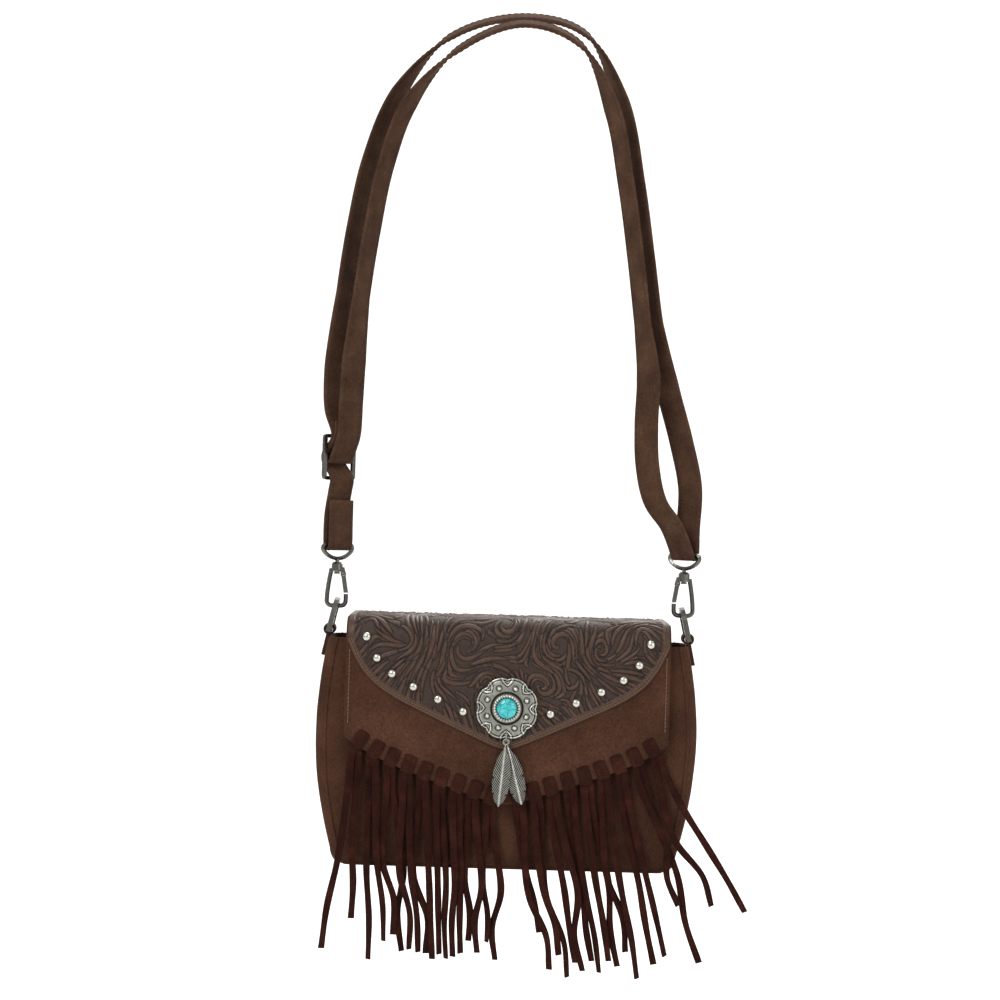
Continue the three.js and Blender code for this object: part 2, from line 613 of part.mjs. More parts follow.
// Each lace is a band round the flap's edge, slit below it into two hanging tails
function buildLaces() {
  allLaces().forEach(({ side, index, ends, frame }, order) => {
    const reach = LACE_THICKNESS + SEAT_GAP;
    const outer = new THREE.Shape();
    const front = FLAP_THICKNESS + reach;
    const top = LACE_SLOT_INSET + LACE_THICKNESS;
    outer.moveTo(-reach + 0.8, -reach);
    outer.lineTo(front - 0.8, -reach);
    outer.lineTo(front, -reach + 0.9);
    outer.lineTo(front, top - 0.9);
    outer.lineTo(front - 0.8, top);
    outer.lineTo(-reach + 0.8, top);
    outer.lineTo(-reach, top - 0.9);
    outer.lineTo(-reach, -reach + 0.9);
    const hole = new THREE.Path();
    hole.moveTo(-SEAT_GAP, -SEAT_GAP);
    hole.lineTo(-SEAT_GAP, LACE_SLOT_INSET);
    hole.lineTo(FLAP_THICKNESS + SEAT_GAP, LACE_SLOT_INSET);
    hole.lineTo(FLAP_THICKNESS + SEAT_GAP, -SEAT_GAP);
    outer.holes.push(hole);
    const acrossEdge = new THREE.Matrix4().makeBasis(vec(0, 0, 1), vec(0, 1, 0), vec(-1, 0, 0));
    const ring = extruded(outer, LACE_WIDTH).translate(0, 0, -LACE_WIDTH / 2).applyMatrix4(acrossEdge);
    ring.applyMatrix4(laceMatrix(frame));

    const tails = ends.map(([endX, endZ], k) => {
      const offset = side * (k - 0.5) * (TAIL_WIDTH + SEAT_GAP);
      const root = frame.point.clone().addScaledVector(frame.along, offset);
      root.addScaledVector(frame.inward, -SEAT_GAP - LACE_THICKNESS / 2);
      const layer = (2 * index + k) % 3;
      const hang = flapInner - FLAP_THICKNESS / 2 - layer * TAIL_LAYER + TAIL_LAYER;
      const drop = endZ - root.z;
      const points = [
        vec(root.x, flapInner - FLAP_THICKNESS / 2, root.z),
        vec(root.x + (endX - root.x) * 0.09, hang, root.z + drop * 0.13),
        vec(root.x + (endX - root.x) * 0.5, hang, root.z + drop * 0.55),
        vec(endX, hang, endZ),
      ];
      return band(points, points.map(() => vec(1, 0, 0)), TAIL_WIDTH, LACE_THICKNESS, 33);
    });
    piece(`fringe_lace_${String(order + 1).padStart(2, '0')}`, join(ring, ...tails), 'lace');
  });
}

// Places shared by the tabs, rings, clips and strap ends on one side of the bag
const bodyBulge = BODY_MID_WIDTH - (BODY_TOP_WIDTH + BODY_BOTTOM_WIDTH) / 4;
const bodyTopSlope = 2 * (bodyBulge - BODY_TOP_WIDTH / 2) / (BODY_TOP_Z - BODY_BOTTOM_Z);
const tabLoopRadius = D_RING_BAND * Math.SQRT1_2 + D_RING_CLEARANCE;
const ringBarZ = BODY_TOP_Z + tabLoopRadius + TAB_LOOP_WALL + SEAT_GAP;
const ringBarX = BODY_TOP_WIDTH / 2 + TAB_THICKNESS / 2 - SEAT_GAP;
const clipReach = D_RING_REACH - D_RING_BAND / 2 - HOOK_CLEARANCE - CLIP_WIRE;
const clipX = ringBarX - clipReach * Math.sin(radians(D_RING_LEAN));
const clipZ = ringBarZ + clipReach * Math.cos(radians(D_RING_LEAN));
const barrelZ = CLIP_EYE_HEIGHT;
const loopBarZ = barrelZ + BARREL_HEIGHT + 2 * LINK_CLEARANCE + LOOP_HEIGHT;

function buildTab(name, side) {
  const tab = new THREE.Group();
  tab.position.set(side * ringBarX, 0, ringBarZ);
  tab.rotation.y = -side * Math.atan(bodyTopSlope);
  bag.add(tab);
  const outer = tabLoopRadius + TAB_LOOP_WALL;
  const half = TAB_THICKNESS / 2;
  const shape = new THREE.Shape();
  const meet = Math.asin(half / outer);
  shape.absarc(0, 0, outer, -Math.PI / 2 + meet, 1.5 * Math.PI - meet, false);
  shape.lineTo(-half, -TAB_LENGTH);
  shape.lineTo(half, -TAB_LENGTH);
  shape.holes.push(new THREE.Path().absarc(0, 0, tabLoopRadius, 0, 2 * Math.PI, true));
  piece(name, extruded(shape, TAB_WIDTH, 12).applyMatrix4(frontwards).translate(0, TAB_WIDTH / 2, 0), 'tooled', tab);
}

function buildRing(name, side) {
  const ring = new THREE.Group();
  ring.position.set(side * ringBarX, 0, ringBarZ);
  ring.rotation.y = -side * radians(D_RING_LEAN);
  bag.add(ring);
  const dShape = (grow, Kind) => {
    const half = D_RING_WIDTH / 2 - D_RING_BAND / 2 + grow;
    const path = new Kind();
    const arc = D_RING_REACH - half + grow;
    path.moveTo(-half, -grow);
    path.lineTo(half, -grow);
    path.lineTo(half, arc);
    path.absarc(0, arc, half, 0, Math.PI, false);
    path.lineTo(-half, -grow);
    return path;
  };
  const shape = dShape(D_RING_BAND / 2, THREE.Shape);
  shape.holes.push(dShape(-D_RING_BAND / 2, THREE.Path));
  const body = extruded(shape, D_RING_BAND, 14).applyMatrix4(sidewards).translate(-D_RING_BAND / 2, 0, 0);
  piece(name, body, 'gunmetal', ring);
}

// Wire eye of the clip: down the spine, round the bottom and up to the nose under the gate
function clipCurve(inner) {
  const r = CLIP_EYE_RADIUS;
  const flat = r - CLIP_CORNER_RADIUS;
  const points = [vec(-inner * 3.7, 0, barrelZ + 2), vec(-inner * 5.5, 0, barrelZ * 0.62)];
  for (const end of [-1, 1]) {
    for (let i = 0; i <= 3; i += 1) {
      const turn = Math.PI / 6 * (end < 0 ? i : 3 - i);
      const x = end * (flat + CLIP_CORNER_RADIUS * Math.cos(turn));
      points.push(vec(inner * x, 0, CLIP_CORNER_RADIUS * (1 - Math.sin(turn))));
    }
  }
  points.push(vec(inner * r, 0, NOSE_HEIGHT));
  return new THREE.CatmullRomCurve3(points, false, 'centripetal');
}

function buildClip(label, side) {
  const clip = new THREE.Group();
  clip.position.set(side * clipX, 0, clipZ);
  bag.add(clip);
  const inner = -side;

  const eye = wire(clipCurve(inner), CLIP_WIRE, 20, vec(0, 1, 0));
  const barrel = new THREE.LatheGeometry([
    new THREE.Vector2(0, 0), new THREE.Vector2(BARREL_RADIUS * 0.9, 0), new THREE.Vector2(BARREL_RADIUS, 1),
    new THREE.Vector2(BARREL_RADIUS, BARREL_HEIGHT - 1.4), new THREE.Vector2(BARREL_RADIUS * 0.7, BARREL_HEIGHT),
    new THREE.Vector2(0, BARREL_HEIGHT),
  ], 20).rotateX(Math.PI / 2).translate(0, 0, barrelZ);
  const bore = disc(POST_RADIUS + PIN_CLEARANCE, BARREL_HEIGHT + 2, 14).translate(0, 0, barrelZ - 1);
  const pinBore = disc(GATE_PIN_RADIUS + PIN_CLEARANCE, 12, 10).applyMatrix4(frontwards);
  pinBore.translate(inner * GATE_PIVOT_X, 6, GATE_PIVOT_Z);

  const earShape = new THREE.Shape();
  const earRadius = GATE_RADIUS + 0.3;
  earShape.absarc(inner * GATE_PIVOT_X, GATE_PIVOT_Z, earRadius, Math.PI, 2 * Math.PI, false);
  earShape.lineTo(inner * GATE_PIVOT_X + earRadius - (inner > 0 ? 1.4 : 0), barrelZ + 3);
  earShape.lineTo(inner * GATE_PIVOT_X - earRadius + (inner > 0 ? 0 : 1.4), barrelZ + 3);
  const earFrom = GATE_THICKNESS / 2 + PIN_CLEARANCE;
  const ear = extruded(earShape, EAR_THICKNESS).applyMatrix4(frontwards);
  const ears = [shifted(ear, 0, -earFrom, 0), shifted(ear, 0, earFrom + EAR_THICKNESS, 0)];
  const gateRoom = new THREE.BoxGeometry(2 * earRadius + 4, 2 * earFrom, 2 * earRadius + 1);
  gateRoom.translate(inner * (GATE_PIVOT_X + 1), 0, GATE_PIVOT_Z + 0.6);
  piece(`clip_${label}`, cut(join(barrel, eye, ...ears), bore, pinBore, gateRoom), 'gunmetal', clip);

  buildGate(label, clip, inner);
  buildStrapLoop(label, clip, side);
}

// Spring gate, hung on its pin between the ears and closing on the nose
function buildGate(label, clip, inner) {
  const gate = new THREE.Group();
  gate.position.set(inner * GATE_PIVOT_X, 0, GATE_PIVOT_Z);
  clip.add(gate);
  const tip = vec(inner * (CLIP_EYE_RADIUS - GATE_PIVOT_X), 0, NOSE_HEIGHT + GATE_TIP_GAP - GATE_PIVOT_Z);
  const across = vec(tip.z, 0, -tip.x).normalize().multiplyScalar(GATE_RADIUS);
  const start = Math.atan2(-across.z, -across.x);
  const shape = new THREE.Shape();
  shape.moveTo(tip.x + across.x, tip.z);
  shape.lineTo(tip.x - across.x, tip.z);
  shape.absarc(0, 0, GATE_RADIUS, start, start + Math.PI, false);
  shape.holes.push(new THREE.Path().absarc(0, 0, GATE_PIN_RADIUS + PIN_CLEARANCE, 0, 2 * Math.PI, true));
  const bar = extruded(shape, GATE_THICKNESS).applyMatrix4(frontwards).translate(0, GATE_THICKNESS / 2, 0);
  piece(`gate_${label}`, bar, 'gunmetal', gate);
  const pinLength = GATE_THICKNESS + 2 * (PIN_CLEARANCE + EAR_THICKNESS);
  const pin = disc(GATE_PIN_RADIUS, pinLength, 10).applyMatrix4(frontwards).translate(0, pinLength / 2, 0);
  piece(`gate_pin_${label}`, pin, 'gunmetal', gate);
}

// Strap loop with the swivel post that runs through the clip's barrel
function buildStrapLoop(label, clip, side) {
  const loop = new THREE.Group();
  loop.rotation.z = side * -radians(LOOP_TURN);
  clip.add(loop);
  const half = STRAP_WIDTH / 2 + STRAP_SIDE_CLEARANCE + LOOP_WIRE;
  const low = barrelZ + BARREL_HEIGHT + 2 * LINK_CLEARANCE + LOOP_WIRE;
  const corner = 3;
  const points = [
    vec(-half + corner, 0, loopBarZ), vec(0, 0, loopBarZ), vec(half - corner, 0, loopBarZ),
    vec(half - 0.7, 0, loopBarZ - 0.7), vec(half, 0, loopBarZ - corner), vec(half * 0.86, 0, loopBarZ - 5.5),
    vec(half * 0.45, 0, low + 1), vec(0, 0, low), vec(-half * 0.45, 0, low + 1),
    vec(-half * 0.86, 0, loopBarZ - 5.5), vec(-half, 0, loopBarZ - corner), vec(-half + 0.7, 0, loopBarZ - 0.7),
  ];
  const frame = wire(new THREE.CatmullRomCurve3(points, true), LOOP_WIRE, 28, vec(0, 1, 0), true, 6);
  const headTop = barrelZ - LINK_CLEARANCE;
  const post = disc(POST_RADIUS, low - headTop, 14).translate(0, 0, headTop);
  const head = disc(POST_HEAD_RADIUS, POST_HEAD_HEIGHT, 14).translate(0, 0, headTop - POST_HEAD_HEIGHT + 0.05);
  piece(`strap_loop_${label}`, join(frame, post, head), 'gunmetal', loop);
}

// Directions of the strap's width, from its left end over the shoulder to its right end
const turned = radians(LOOP_TURN);
const LEFT_WIDTH = vec(Math.cos(turned), Math.sin(turned), 0);
const LEFT_RISE_WIDTH = vec(0.5, 0.86, 0.05);
const CROWN_WIDTH = vec(0, 0.92, 0.38);
const RIGHT_RISE_WIDTH = vec(-0.5, 0.86, 0.05);
const RIGHT_WIDTH = vec(-Math.cos(turned), Math.sin(turned), 0);

// Half a turn round a bar that lies along the strap's width, from front to back of it
function roundBar(centre, facing, radius) {
  return [0, 1, 2, 3, 4].map((i) => {
    const turn = i / 4 * Math.PI;
    const point = centre.clone().addScaledVector(facing, radius * Math.cos(turn));
    return point.add(vec(0, 0, -radius * Math.sin(turn)));
  });
}

function strapRoute() {
  const route = [];
  const add = (width, ...points) => points.forEach((point) => route.push({ point, width }));
  const leftBar = vec(-clipX, 0, clipZ + loopBarZ);
  const rightBar = vec(clipX, 0, clipZ + loopBarZ);
  const leftFacing = vec(LEFT_WIDTH.y, -LEFT_WIDTH.x, 0);
  const rightFacing = vec(-RIGHT_WIDTH.y, RIGHT_WIDTH.x, 0);
  const turnRadius = LOOP_WIRE + LINK_CLEARANCE + STRAP_THICKNESS / 2;
  const slider = vec(leftBar.x - 1, 1, SLIDER_Z);
  const weave = (forward, rise) => slider.clone().addScaledVector(leftFacing, forward).add(vec(0, 0, rise));
  const barReach = (SLIDER_LENGTH - SLIDER_BAR) / 2;
  const overBar = SLIDER_THICKNESS / 2 + WEAVE_CLEARANCE + STRAP_THICKNESS / 2;
  const round = Math.hypot(SLIDER_BAR, SLIDER_THICKNESS) / 2 + LINK_CLEARANCE + STRAP_THICKNESS / 2;
  const layer = STRAP_THICKNESS * 1.5;

  // Sewn end at the left clip, then up behind the slider's middle bar
  const sewn = leftBar.clone().addScaledVector(leftFacing, turnRadius);
  add(LEFT_WIDTH, sewn.clone().add(vec(0, 0, 30)), sewn.clone().add(vec(0, 0, 14)));
  add(LEFT_WIDTH, ...roundBar(leftBar, leftFacing, turnRadius));
  add(LEFT_WIDTH, leftBar.clone().addScaledVector(leftFacing, -turnRadius).add(vec(0, 0, 20)));
  add(LEFT_WIDTH, weave(overBar - 1.5, -barReach - 8), weave(overBar, -barReach));
  add(LEFT_WIDTH, weave(-round - layer, -3), weave(-round - layer, 3), weave(overBar, barReach));
  // Outer run over the shoulder to the right clip
  add(LEFT_WIDTH, vec(-121, 0, 136), vec(-122, 2, 165));
  add(LEFT_RISE_WIDTH, vec(-118, 4, 215), vec(-112, 5, 262), vec(-103, 7, 308), vec(-86, 8, 352));
  add(CROWN_WIDTH, vec(-51, 11, 393), vec(-2, 10.5, 407.4), vec(40, 10.5, 397.4));
  add(RIGHT_RISE_WIDTH, vec(66, 8, 350), vec(78, 6, 295), vec(86, 5, 245), vec(93, 5, 200));
  add(RIGHT_WIDTH, vec(102, 5, 160), vec(113, 5, 122), vec(120, 4, 90));
  const away = rightBar.clone().addScaledVector(rightFacing, -turnRadius);
  add(RIGHT_WIDTH, away.clone().add(vec(0, 0, 16)), ...roundBar(rightBar, rightFacing, turnRadius).reverse());
  // Inner run back over the shoulder, ending sewn round the slider's middle bar
  add(RIGHT_WIDTH, vec(108, -5, 63), vec(96, -6, 80), vec(90, -6, 104), vec(88.5, -5, 132), vec(89, -5, 164));
  add(RIGHT_RISE_WIDTH, vec(84, -5, 200), vec(78, -4, 245), vec(70, -4, 295), vec(59, -7, 344));
  add(CROWN_WIDTH, vec(36, -10.5, 386), vec(-2, -10.5, 398.6), vec(-45, -12, 380));
  add(LEFT_RISE_WIDTH, vec(-77, -7, 344), vec(-92, -5, 302), vec(-100, -5, 258), vec(-106, -6, 212));
  add(LEFT_WIDTH, vec(-109.5, -7, 170), vec(-110.5, -9, 142), weave(overBar + 2 * layer, barReach));
  add(LEFT_WIDTH, ...roundBar(slider, leftFacing, round), weave(-round, 2.5), weave(overBar + layer, barReach));
  add(LEFT_WIDTH, weave(overBar + layer + 0.6, barReach + 10));
  return { route, slider };
}

function buildStrap() {
  const { route, slider } = strapRoute();
  const strap = band(route.map((stop) => stop.point), route.map((stop) => stop.width), STRAP_WIDTH,
    STRAP_THICKNESS, SECTION_STEP);
  piece('strap', strap, 'strap');

  const frame = new THREE.Group();
  frame.position.copy(slider);
  frame.rotation.z = turned;
  bag.add(frame);
  const halfWidth = STRAP_WIDTH / 2 + STRAP_SIDE_CLEARANCE;
  const halfLength = SLIDER_LENGTH / 2;
  const corner = 3;
  const shape = new THREE.Shape();
  const out = halfWidth + SLIDER_BAR;
  shape.moveTo(-out + corner, -halfLength);
  shape.lineTo(out - corner, -halfLength);
  shape.quadraticCurveTo(out, -halfLength, out, -halfLength + corner);
  shape.lineTo(out, halfLength - corner);
  shape.quadraticCurveTo(out, halfLength, out - corner, halfLength);
  shape.lineTo(-out + corner, halfLength);
  shape.quadraticCurveTo(-out, halfLength, -out, halfLength - corner);
  shape.lineTo(-out, -halfLength + corner);
  shape.quadraticCurveTo(-out, -halfLength, -out + corner, -halfLength);
  for (const end of [-1, 1]) {
    const near = end * SLIDER_BAR / 2;
    const far = end * (halfLength - SLIDER_BAR);
    const slot = new THREE.Path();
    slot.setFromPoints([
      new THREE.Vector2(-halfWidth, near), new THREE.Vector2(halfWidth, near),
      new THREE.Vector2(halfWidth, far), new THREE.Vector2(-halfWidth, far),
    ]);
    shape.holes.push(slot);
  }
  const plate = extruded(shape, SLIDER_THICKNESS, 4).applyMatrix4(frontwards).translate(0, SLIDER_THICKNESS / 2, 0);
  piece('slider', plate, 'gunmetal', frame);
}

buildBody();
buildFlap();
buildStuds();
buildConcho();
buildSnap();
buildLaces();
for (const [label, side] of [['left', -1], ['right', 1]]) {
  buildTab(`side_tab_${label}`, side);
  buildRing(`d_ring_${label}`, side);
  buildClip(label, side);
}
buildStrap();

export default object;
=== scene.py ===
import math
import bpy
import numpy as np
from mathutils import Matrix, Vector, noise


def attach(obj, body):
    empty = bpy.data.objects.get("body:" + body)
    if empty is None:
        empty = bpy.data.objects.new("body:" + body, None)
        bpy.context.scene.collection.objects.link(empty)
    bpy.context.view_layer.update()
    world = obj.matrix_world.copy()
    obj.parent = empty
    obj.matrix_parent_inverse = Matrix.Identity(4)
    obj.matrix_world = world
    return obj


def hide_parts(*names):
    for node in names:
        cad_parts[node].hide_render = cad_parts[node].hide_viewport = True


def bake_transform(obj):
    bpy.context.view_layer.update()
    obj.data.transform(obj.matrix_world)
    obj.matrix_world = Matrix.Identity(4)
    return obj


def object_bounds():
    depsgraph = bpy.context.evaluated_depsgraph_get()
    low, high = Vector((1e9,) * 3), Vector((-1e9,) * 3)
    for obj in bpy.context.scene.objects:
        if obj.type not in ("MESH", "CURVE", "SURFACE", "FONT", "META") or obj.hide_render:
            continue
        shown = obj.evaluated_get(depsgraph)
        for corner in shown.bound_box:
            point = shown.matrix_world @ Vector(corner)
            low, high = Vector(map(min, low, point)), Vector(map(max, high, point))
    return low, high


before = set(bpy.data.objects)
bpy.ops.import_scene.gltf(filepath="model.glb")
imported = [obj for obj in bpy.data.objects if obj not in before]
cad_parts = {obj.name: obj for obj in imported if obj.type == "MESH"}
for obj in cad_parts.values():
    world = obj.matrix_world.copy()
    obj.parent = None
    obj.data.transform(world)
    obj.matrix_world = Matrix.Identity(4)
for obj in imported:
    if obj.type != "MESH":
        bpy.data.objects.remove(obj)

CAD_BOX = [list(corner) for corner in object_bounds()]

# Sizes in millimetres, measured from the top of the closed flap
HANG = 402.0
BACK = 28.0
FLAP_IN = -33.0
FLAP_T = 2.0
OVER_FROM = 2.3
OVER_TO = 4.1
HALF_FLAP = 107.5
ROLL = 11.0
TOP_Z = -4.1
ROLL_Y = FLAP_IN + ROLL
ROLL_Z = TOP_Z - ROLL
TOP_RUN = BACK - ROLL_Y
ROLL_RUN = ROLL * math.pi / 2
CONCHO_Z = -58.8
MOUTH_Z = -16.0
CORNER_Z = -154.0
CORNER_DROP = 13.0
STUD_FIRST, STUD_LAST, STUD_INSET = 34, 105.5, 12.5
LACE_FIRST, LACE_PITCH = 9.5, 11.15
STRAP_WIDTH, STRAP_THICK = 19.0, 2.2
CONCHO_Y = FLAP_IN - OVER_TO - 0.3
rng = np.random.default_rng(7)


def row(points):
    """Bag millimetres to metres in the shared frame."""
    out = np.array(points, float).reshape(-1, 3).copy()
    out[:, 2] -= HANG
    return out * 0.001


def mesh(name, points, faces, smooth=True, metres=False):
    data = bpy.data.meshes.new(name)
    data.from_pydata((np.array(points) if metres else row(points)).tolist(), [], faces)
    data.update()
    if smooth:
        data.polygons.foreach_set("use_smooth", [True] * len(data.polygons))
    obj = bpy.data.objects.new(name, data)
    bpy.context.scene.collection.objects.link(obj)
    return obj


def fresh(points, faces, store):
    """Adds one more closed bit to a list of points and faces."""
    base = len(store[0])
    store[0].extend(list(map(tuple, points)))
    store[1].extend([tuple(base + i for i in face) for face in faces])


def tube_faces(rings, sides, closed=False, caps=True):
    faces = []
    for i in range(rings if closed else rings - 1):
        for j in range(sides):
            a, b = i * sides + j, i * sides + (j + 1) % sides
            c, d = ((i + 1) % rings) * sides + (j + 1) % sides, ((i + 1) % rings) * sides + j
            faces.append((a, d, c, b))
    if caps and not closed:
        faces.append(tuple(range(sides)))
        faces.append(tuple((rings - 1) * sides + j for j in reversed(range(sides))))
    return faces


def unit(v):
    v = np.asarray(v, float)
    return v / np.maximum(np.linalg.norm(v, axis=-1, keepdims=True), 1e-9)


def spline(points, counts):
    """Centripetal curve through points, with so many steps in each span; gives places and span positions."""
    p = np.array(points, float)
    p = np.vstack([2 * p[0] - p[1], p, 2 * p[-1] - p[-2]])
    out, where = [], []
    for i in range(1, len(p) - 2):
        a, b, c, d = p[i - 1], p[i], p[i + 1], p[i + 2]
        t0 = 0.0
        t1 = t0 + max(np.linalg.norm(b - a), 1e-6) ** 0.5
        t2 = t1 + max(np.linalg.norm(c - b), 1e-6) ** 0.5
        t3 = t2 + max(np.linalg.norm(d - c), 1e-6) ** 0.5
        n = counts[i - 1]
        last = i == len(p) - 3
        for k in range(n + (1 if last else 0)):
            t = t1 + (t2 - t1) * k / n
            a1 = (t1 - t) / (t1 - t0) * a + (t - t0) / (t1 - t0) * b
            a2 = (t2 - t) / (t2 - t1) * b + (t - t1) / (t2 - t1) * c
            a3 = (t3 - t) / (t3 - t2) * c + (t - t2) / (t3 - t2) * d
            b1 = (t2 - t) / (t2 - t0) * a1 + (t - t0) / (t2 - t0) * a2
            b2 = (t3 - t) / (t3 - t1) * a2 + (t - t1) / (t3 - t1) * a3
            out.append((t2 - t) / (t2 - t1) * b1 + (t - t1) / (t2 - t1) * b2)
            where.append(i - 1 + k / n)
    return np.array(out), np.array(where)


def frames(path, across):
    """Unit tangent, width and face directions along a path."""
    tangent = unit(np.gradient(path, axis=0))
    across = across - (across * tangent).sum(1, keepdims=True) * tangent
    across = unit(across)
    return tangent, across, np.cross(tangent, across)


def ribbon(path, across, width, thick):
    """Points and faces of a flat band with rounded edges; width may change along it."""
    _, side, face = frames(path, across)
    width = np.broadcast_to(np.asarray(width, float), (len(path),))[:, None]
    t = thick / 2
    profile = [(-1, -0.35), (-0.94, -0.95), (-0.5, -1), (0, -1), (0.5, -1), (0.94, -0.95),
               (1, -0.35), (1, 0.35), (0.94, 0.95), (0.5, 1), (0, 1), (-0.5, 1),
               (-0.94, 0.95), (-1, 0.35)]
    rings = [path + side * width / 2 * u + face * t * v for u, v in profile]
    points = np.stack(rings, 1).reshape(-1, 3)
    return points, tube_faces(len(path), len(profile))


def wire(path, radius, plane, closed=True, sides=12):
    nxt = np.roll(path, -1, 0) - np.roll(path, 1, 0) if closed else np.gradient(path, axis=0)
    tangent = unit(nxt)
    plane = np.broadcast_to(np.asarray(plane, float), path.shape)
    normal = unit(np.cross(plane, tangent))
    turns = np.arange(sides) / sides * 2 * math.pi
    radius = np.broadcast_to(np.asarray(radius, float), (len(path),))
    points = path[:, None] + radius[:, None, None] * (normal[:, None] * np.cos(turns)[None, :, None]
                                                     + plane[:, None] * np.sin(turns)[None, :, None])
    return points.reshape(-1, 3), tube_faces(len(path), sides, closed)


def stitch(store, a, b, normal, radius=0.36, lift=0.12):
    """One sewn stitch as a small bent capsule from a to b."""
    a, b, n = (np.asarray(v, float) for v in (a, b, normal))
    path = np.array([a - n * radius, a + (b - a) * 0.12 + n * lift, a + (b - a) * 0.5 + n * (lift + 0.1),
                     a + (b - a) * 0.88 + n * lift, b - n * radius])
    plane = unit(np.cross(b - a, n))
    fresh(*wire(path, radius, plane, False, 6), store)


# Materials
def material(name, base, rough, metal=0.0, spec=0.5):
    mat = bpy.data.materials.new(name)
    mat.use_nodes = True
    shader = mat.node_tree.nodes["Principled BSDF"]
    shader.inputs["Base Color"].default_value = (*base, 1)
    shader.inputs["Roughness"].default_value = rough
    shader.inputs["Metallic"].default_value = metal
    shader.inputs["Specular IOR Level"].default_value = spec
    return mat, mat.node_tree, shader


def noise_node(tree, scale, detail=6.0, rough=0.6):
    coords = tree.nodes.new("ShaderNodeTexCoord")
    node = tree.nodes.new("ShaderNodeTexNoise")
    node.inputs["Scale"].default_value = scale
    node.inputs["Detail"].default_value = detail
    node.inputs["Roughness"].default_value = rough
    tree.links.new(coords.outputs["Object"], node.inputs["Vector"])
    return node


def ramp(tree, source, stops):
    node = tree.nodes.new("ShaderNodeValToRGB")
    bar = node.color_ramp
    while len(bar.elements) < len(stops):
        bar.elements.new(0.5)
    for element, (place, colour) in zip(bar.elements, stops):
        element.position = place
        element.color = (*colour, 1)
    tree.links.new(source, node.inputs["Fac"])
    return node


def mix(tree, fac, a, b, mode="MIX"):
    node = tree.nodes.new("ShaderNodeMix")
    node.data_type = "RGBA"
    node.blend_type = mode
    if isinstance(fac, float):
        node.inputs[0].default_value = fac
    else:
        tree.links.new(fac, node.inputs[0])
    tree.links.new(a, node.inputs[6])
    tree.links.new(b, node.inputs[7])
    return node.outputs[2]


def bump(tree, shader, height, strength, distance):
    node = tree.nodes.new("ShaderNodeBump")
    node.inputs["Strength"].default_value = strength
    node.inputs["Distance"].default_value = distance
    tree.links.new(height, node.inputs["Height"])
    tree.links.new(node.outputs["Normal"], shader.inputs["Normal"])


def lin(r, g, b):
    return tuple(((c / 255 + 0.055) / 1.055) ** 2.4 if c > 10 else c / 255 / 12.92 for c in (r, g, b))


def suede(name, dark, mid, light, cloud=35.0, sheen=0.25):
    mat, tree, shader = material(name, mid, 0.95, 0, 0.12)
    broad = ramp(tree, noise_node(tree, cloud, 5.0, 0.6).outputs["Fac"],
                 [(0.28, dark), (0.5, mid), (0.74, light)])
    fine = noise_node(tree, 900.0, 3.0, 0.7)
    grain = ramp(tree, fine.outputs["Fac"], [(0.3, (0.62, 0.62, 0.62)), (0.7, (1.25, 1.25, 1.25))])
    tree.links.new(mix(tree, 1.0, broad.outputs["Color"], grain.outputs["Color"], "MULTIPLY"),
                   shader.inputs["Base Color"])
    shader.inputs["Sheen Weight"].default_value = sheen
    shader.inputs["Sheen Roughness"].default_value = 0.5
    shader.inputs["Sheen Tint"].default_value = (*light, 1)
    bump(tree, shader, fine.outputs["Fac"], 0.35, 0.0006)
    return mat


SUEDE = suede("suede", lin(54, 34, 25), lin(69, 44, 32), lin(82, 54, 40), 35.0, 0.12)
# The laces are one suede in two tones: the tails darker with painted shade, the loop band round the flap edge
# lighter with painted light.
LACE_PAINTED_SHADE = suede("lace_suede", lin(27, 9, 6), lin(43, 17, 11), lin(60, 28, 20), 60.0, 0.08)
LACE_PAINTED_LIGHT = suede("lace_suede_painted_light", lin(33, 14, 9), lin(48, 23, 15), lin(64, 34, 24), 70.0, 0.08)
STRAP = suede("strap_leather", lin(57, 38, 28), lin(73, 51, 38), lin(88, 64, 48), 50.0, 0.08)


def cavity_material(name, low, high, rough_low, rough_high, metal, place=(0.15, 0.75), fleck=220.0):
    """Dark in the hollows and lighter on the raised work, from the height stored on the mesh: painted shade in
    the tooled leather's hollows, oxide patina in the silver's hollows.
    """
    mat, tree, shader = material(name, high, rough_high, metal, 0.4)
    height = tree.nodes.new("ShaderNodeAttribute")
    height.attribute_name = "relief"
    shade = ramp(tree, height.outputs["Fac"], [(place[0], low), (place[1], high)])
    spots = noise_node(tree, fleck, 4.0, 0.6)
    worn = ramp(tree, spots.outputs["Fac"], [(0.3, (0.72, 0.72, 0.72)), (0.7, (1.2, 1.2, 1.2))])
    tree.links.new(mix(tree, 1.0, shade.outputs["Color"], worn.outputs["Color"], "MULTIPLY"),
                   shader.inputs["Base Color"])
    gloss = ramp(tree, height.outputs["Fac"], [(place[0], (rough_low,) * 3), (place[1], (rough_high,) * 3)])
    tree.links.new(gloss.outputs["Color"], shader.inputs["Roughness"])
    bump(tree, shader, spots.outputs["Fac"], 0.12, 0.0004)
    return mat


# Tooled leather: the dark ground and cut lines are painted shade in the hollows, from the relief height.
TOOLED = cavity_material("tooled_leather", lin(20, 9, 5), lin(70, 45, 29), 0.75, 0.42, 0.0, (0.05, 0.62))
SILVER = cavity_material("antique_silver", lin(26, 24, 21), lin(206, 206, 196), 0.6, 0.2, 1.0,
                         (0.12, 0.75), 300.0)


def plain_metal(name, colour, rough):
    mat, tree, shader = material(name, colour, rough, 1.0)
    wear = ramp(tree, noise_node(tree, 160.0, 4.0, 0.6).outputs["Fac"],
                [(0.3, (rough - 0.08,) * 3), (0.7, (rough + 0.1,) * 3)])
    tree.links.new(wear.outputs["Color"], shader.inputs["Roughness"])
    return mat


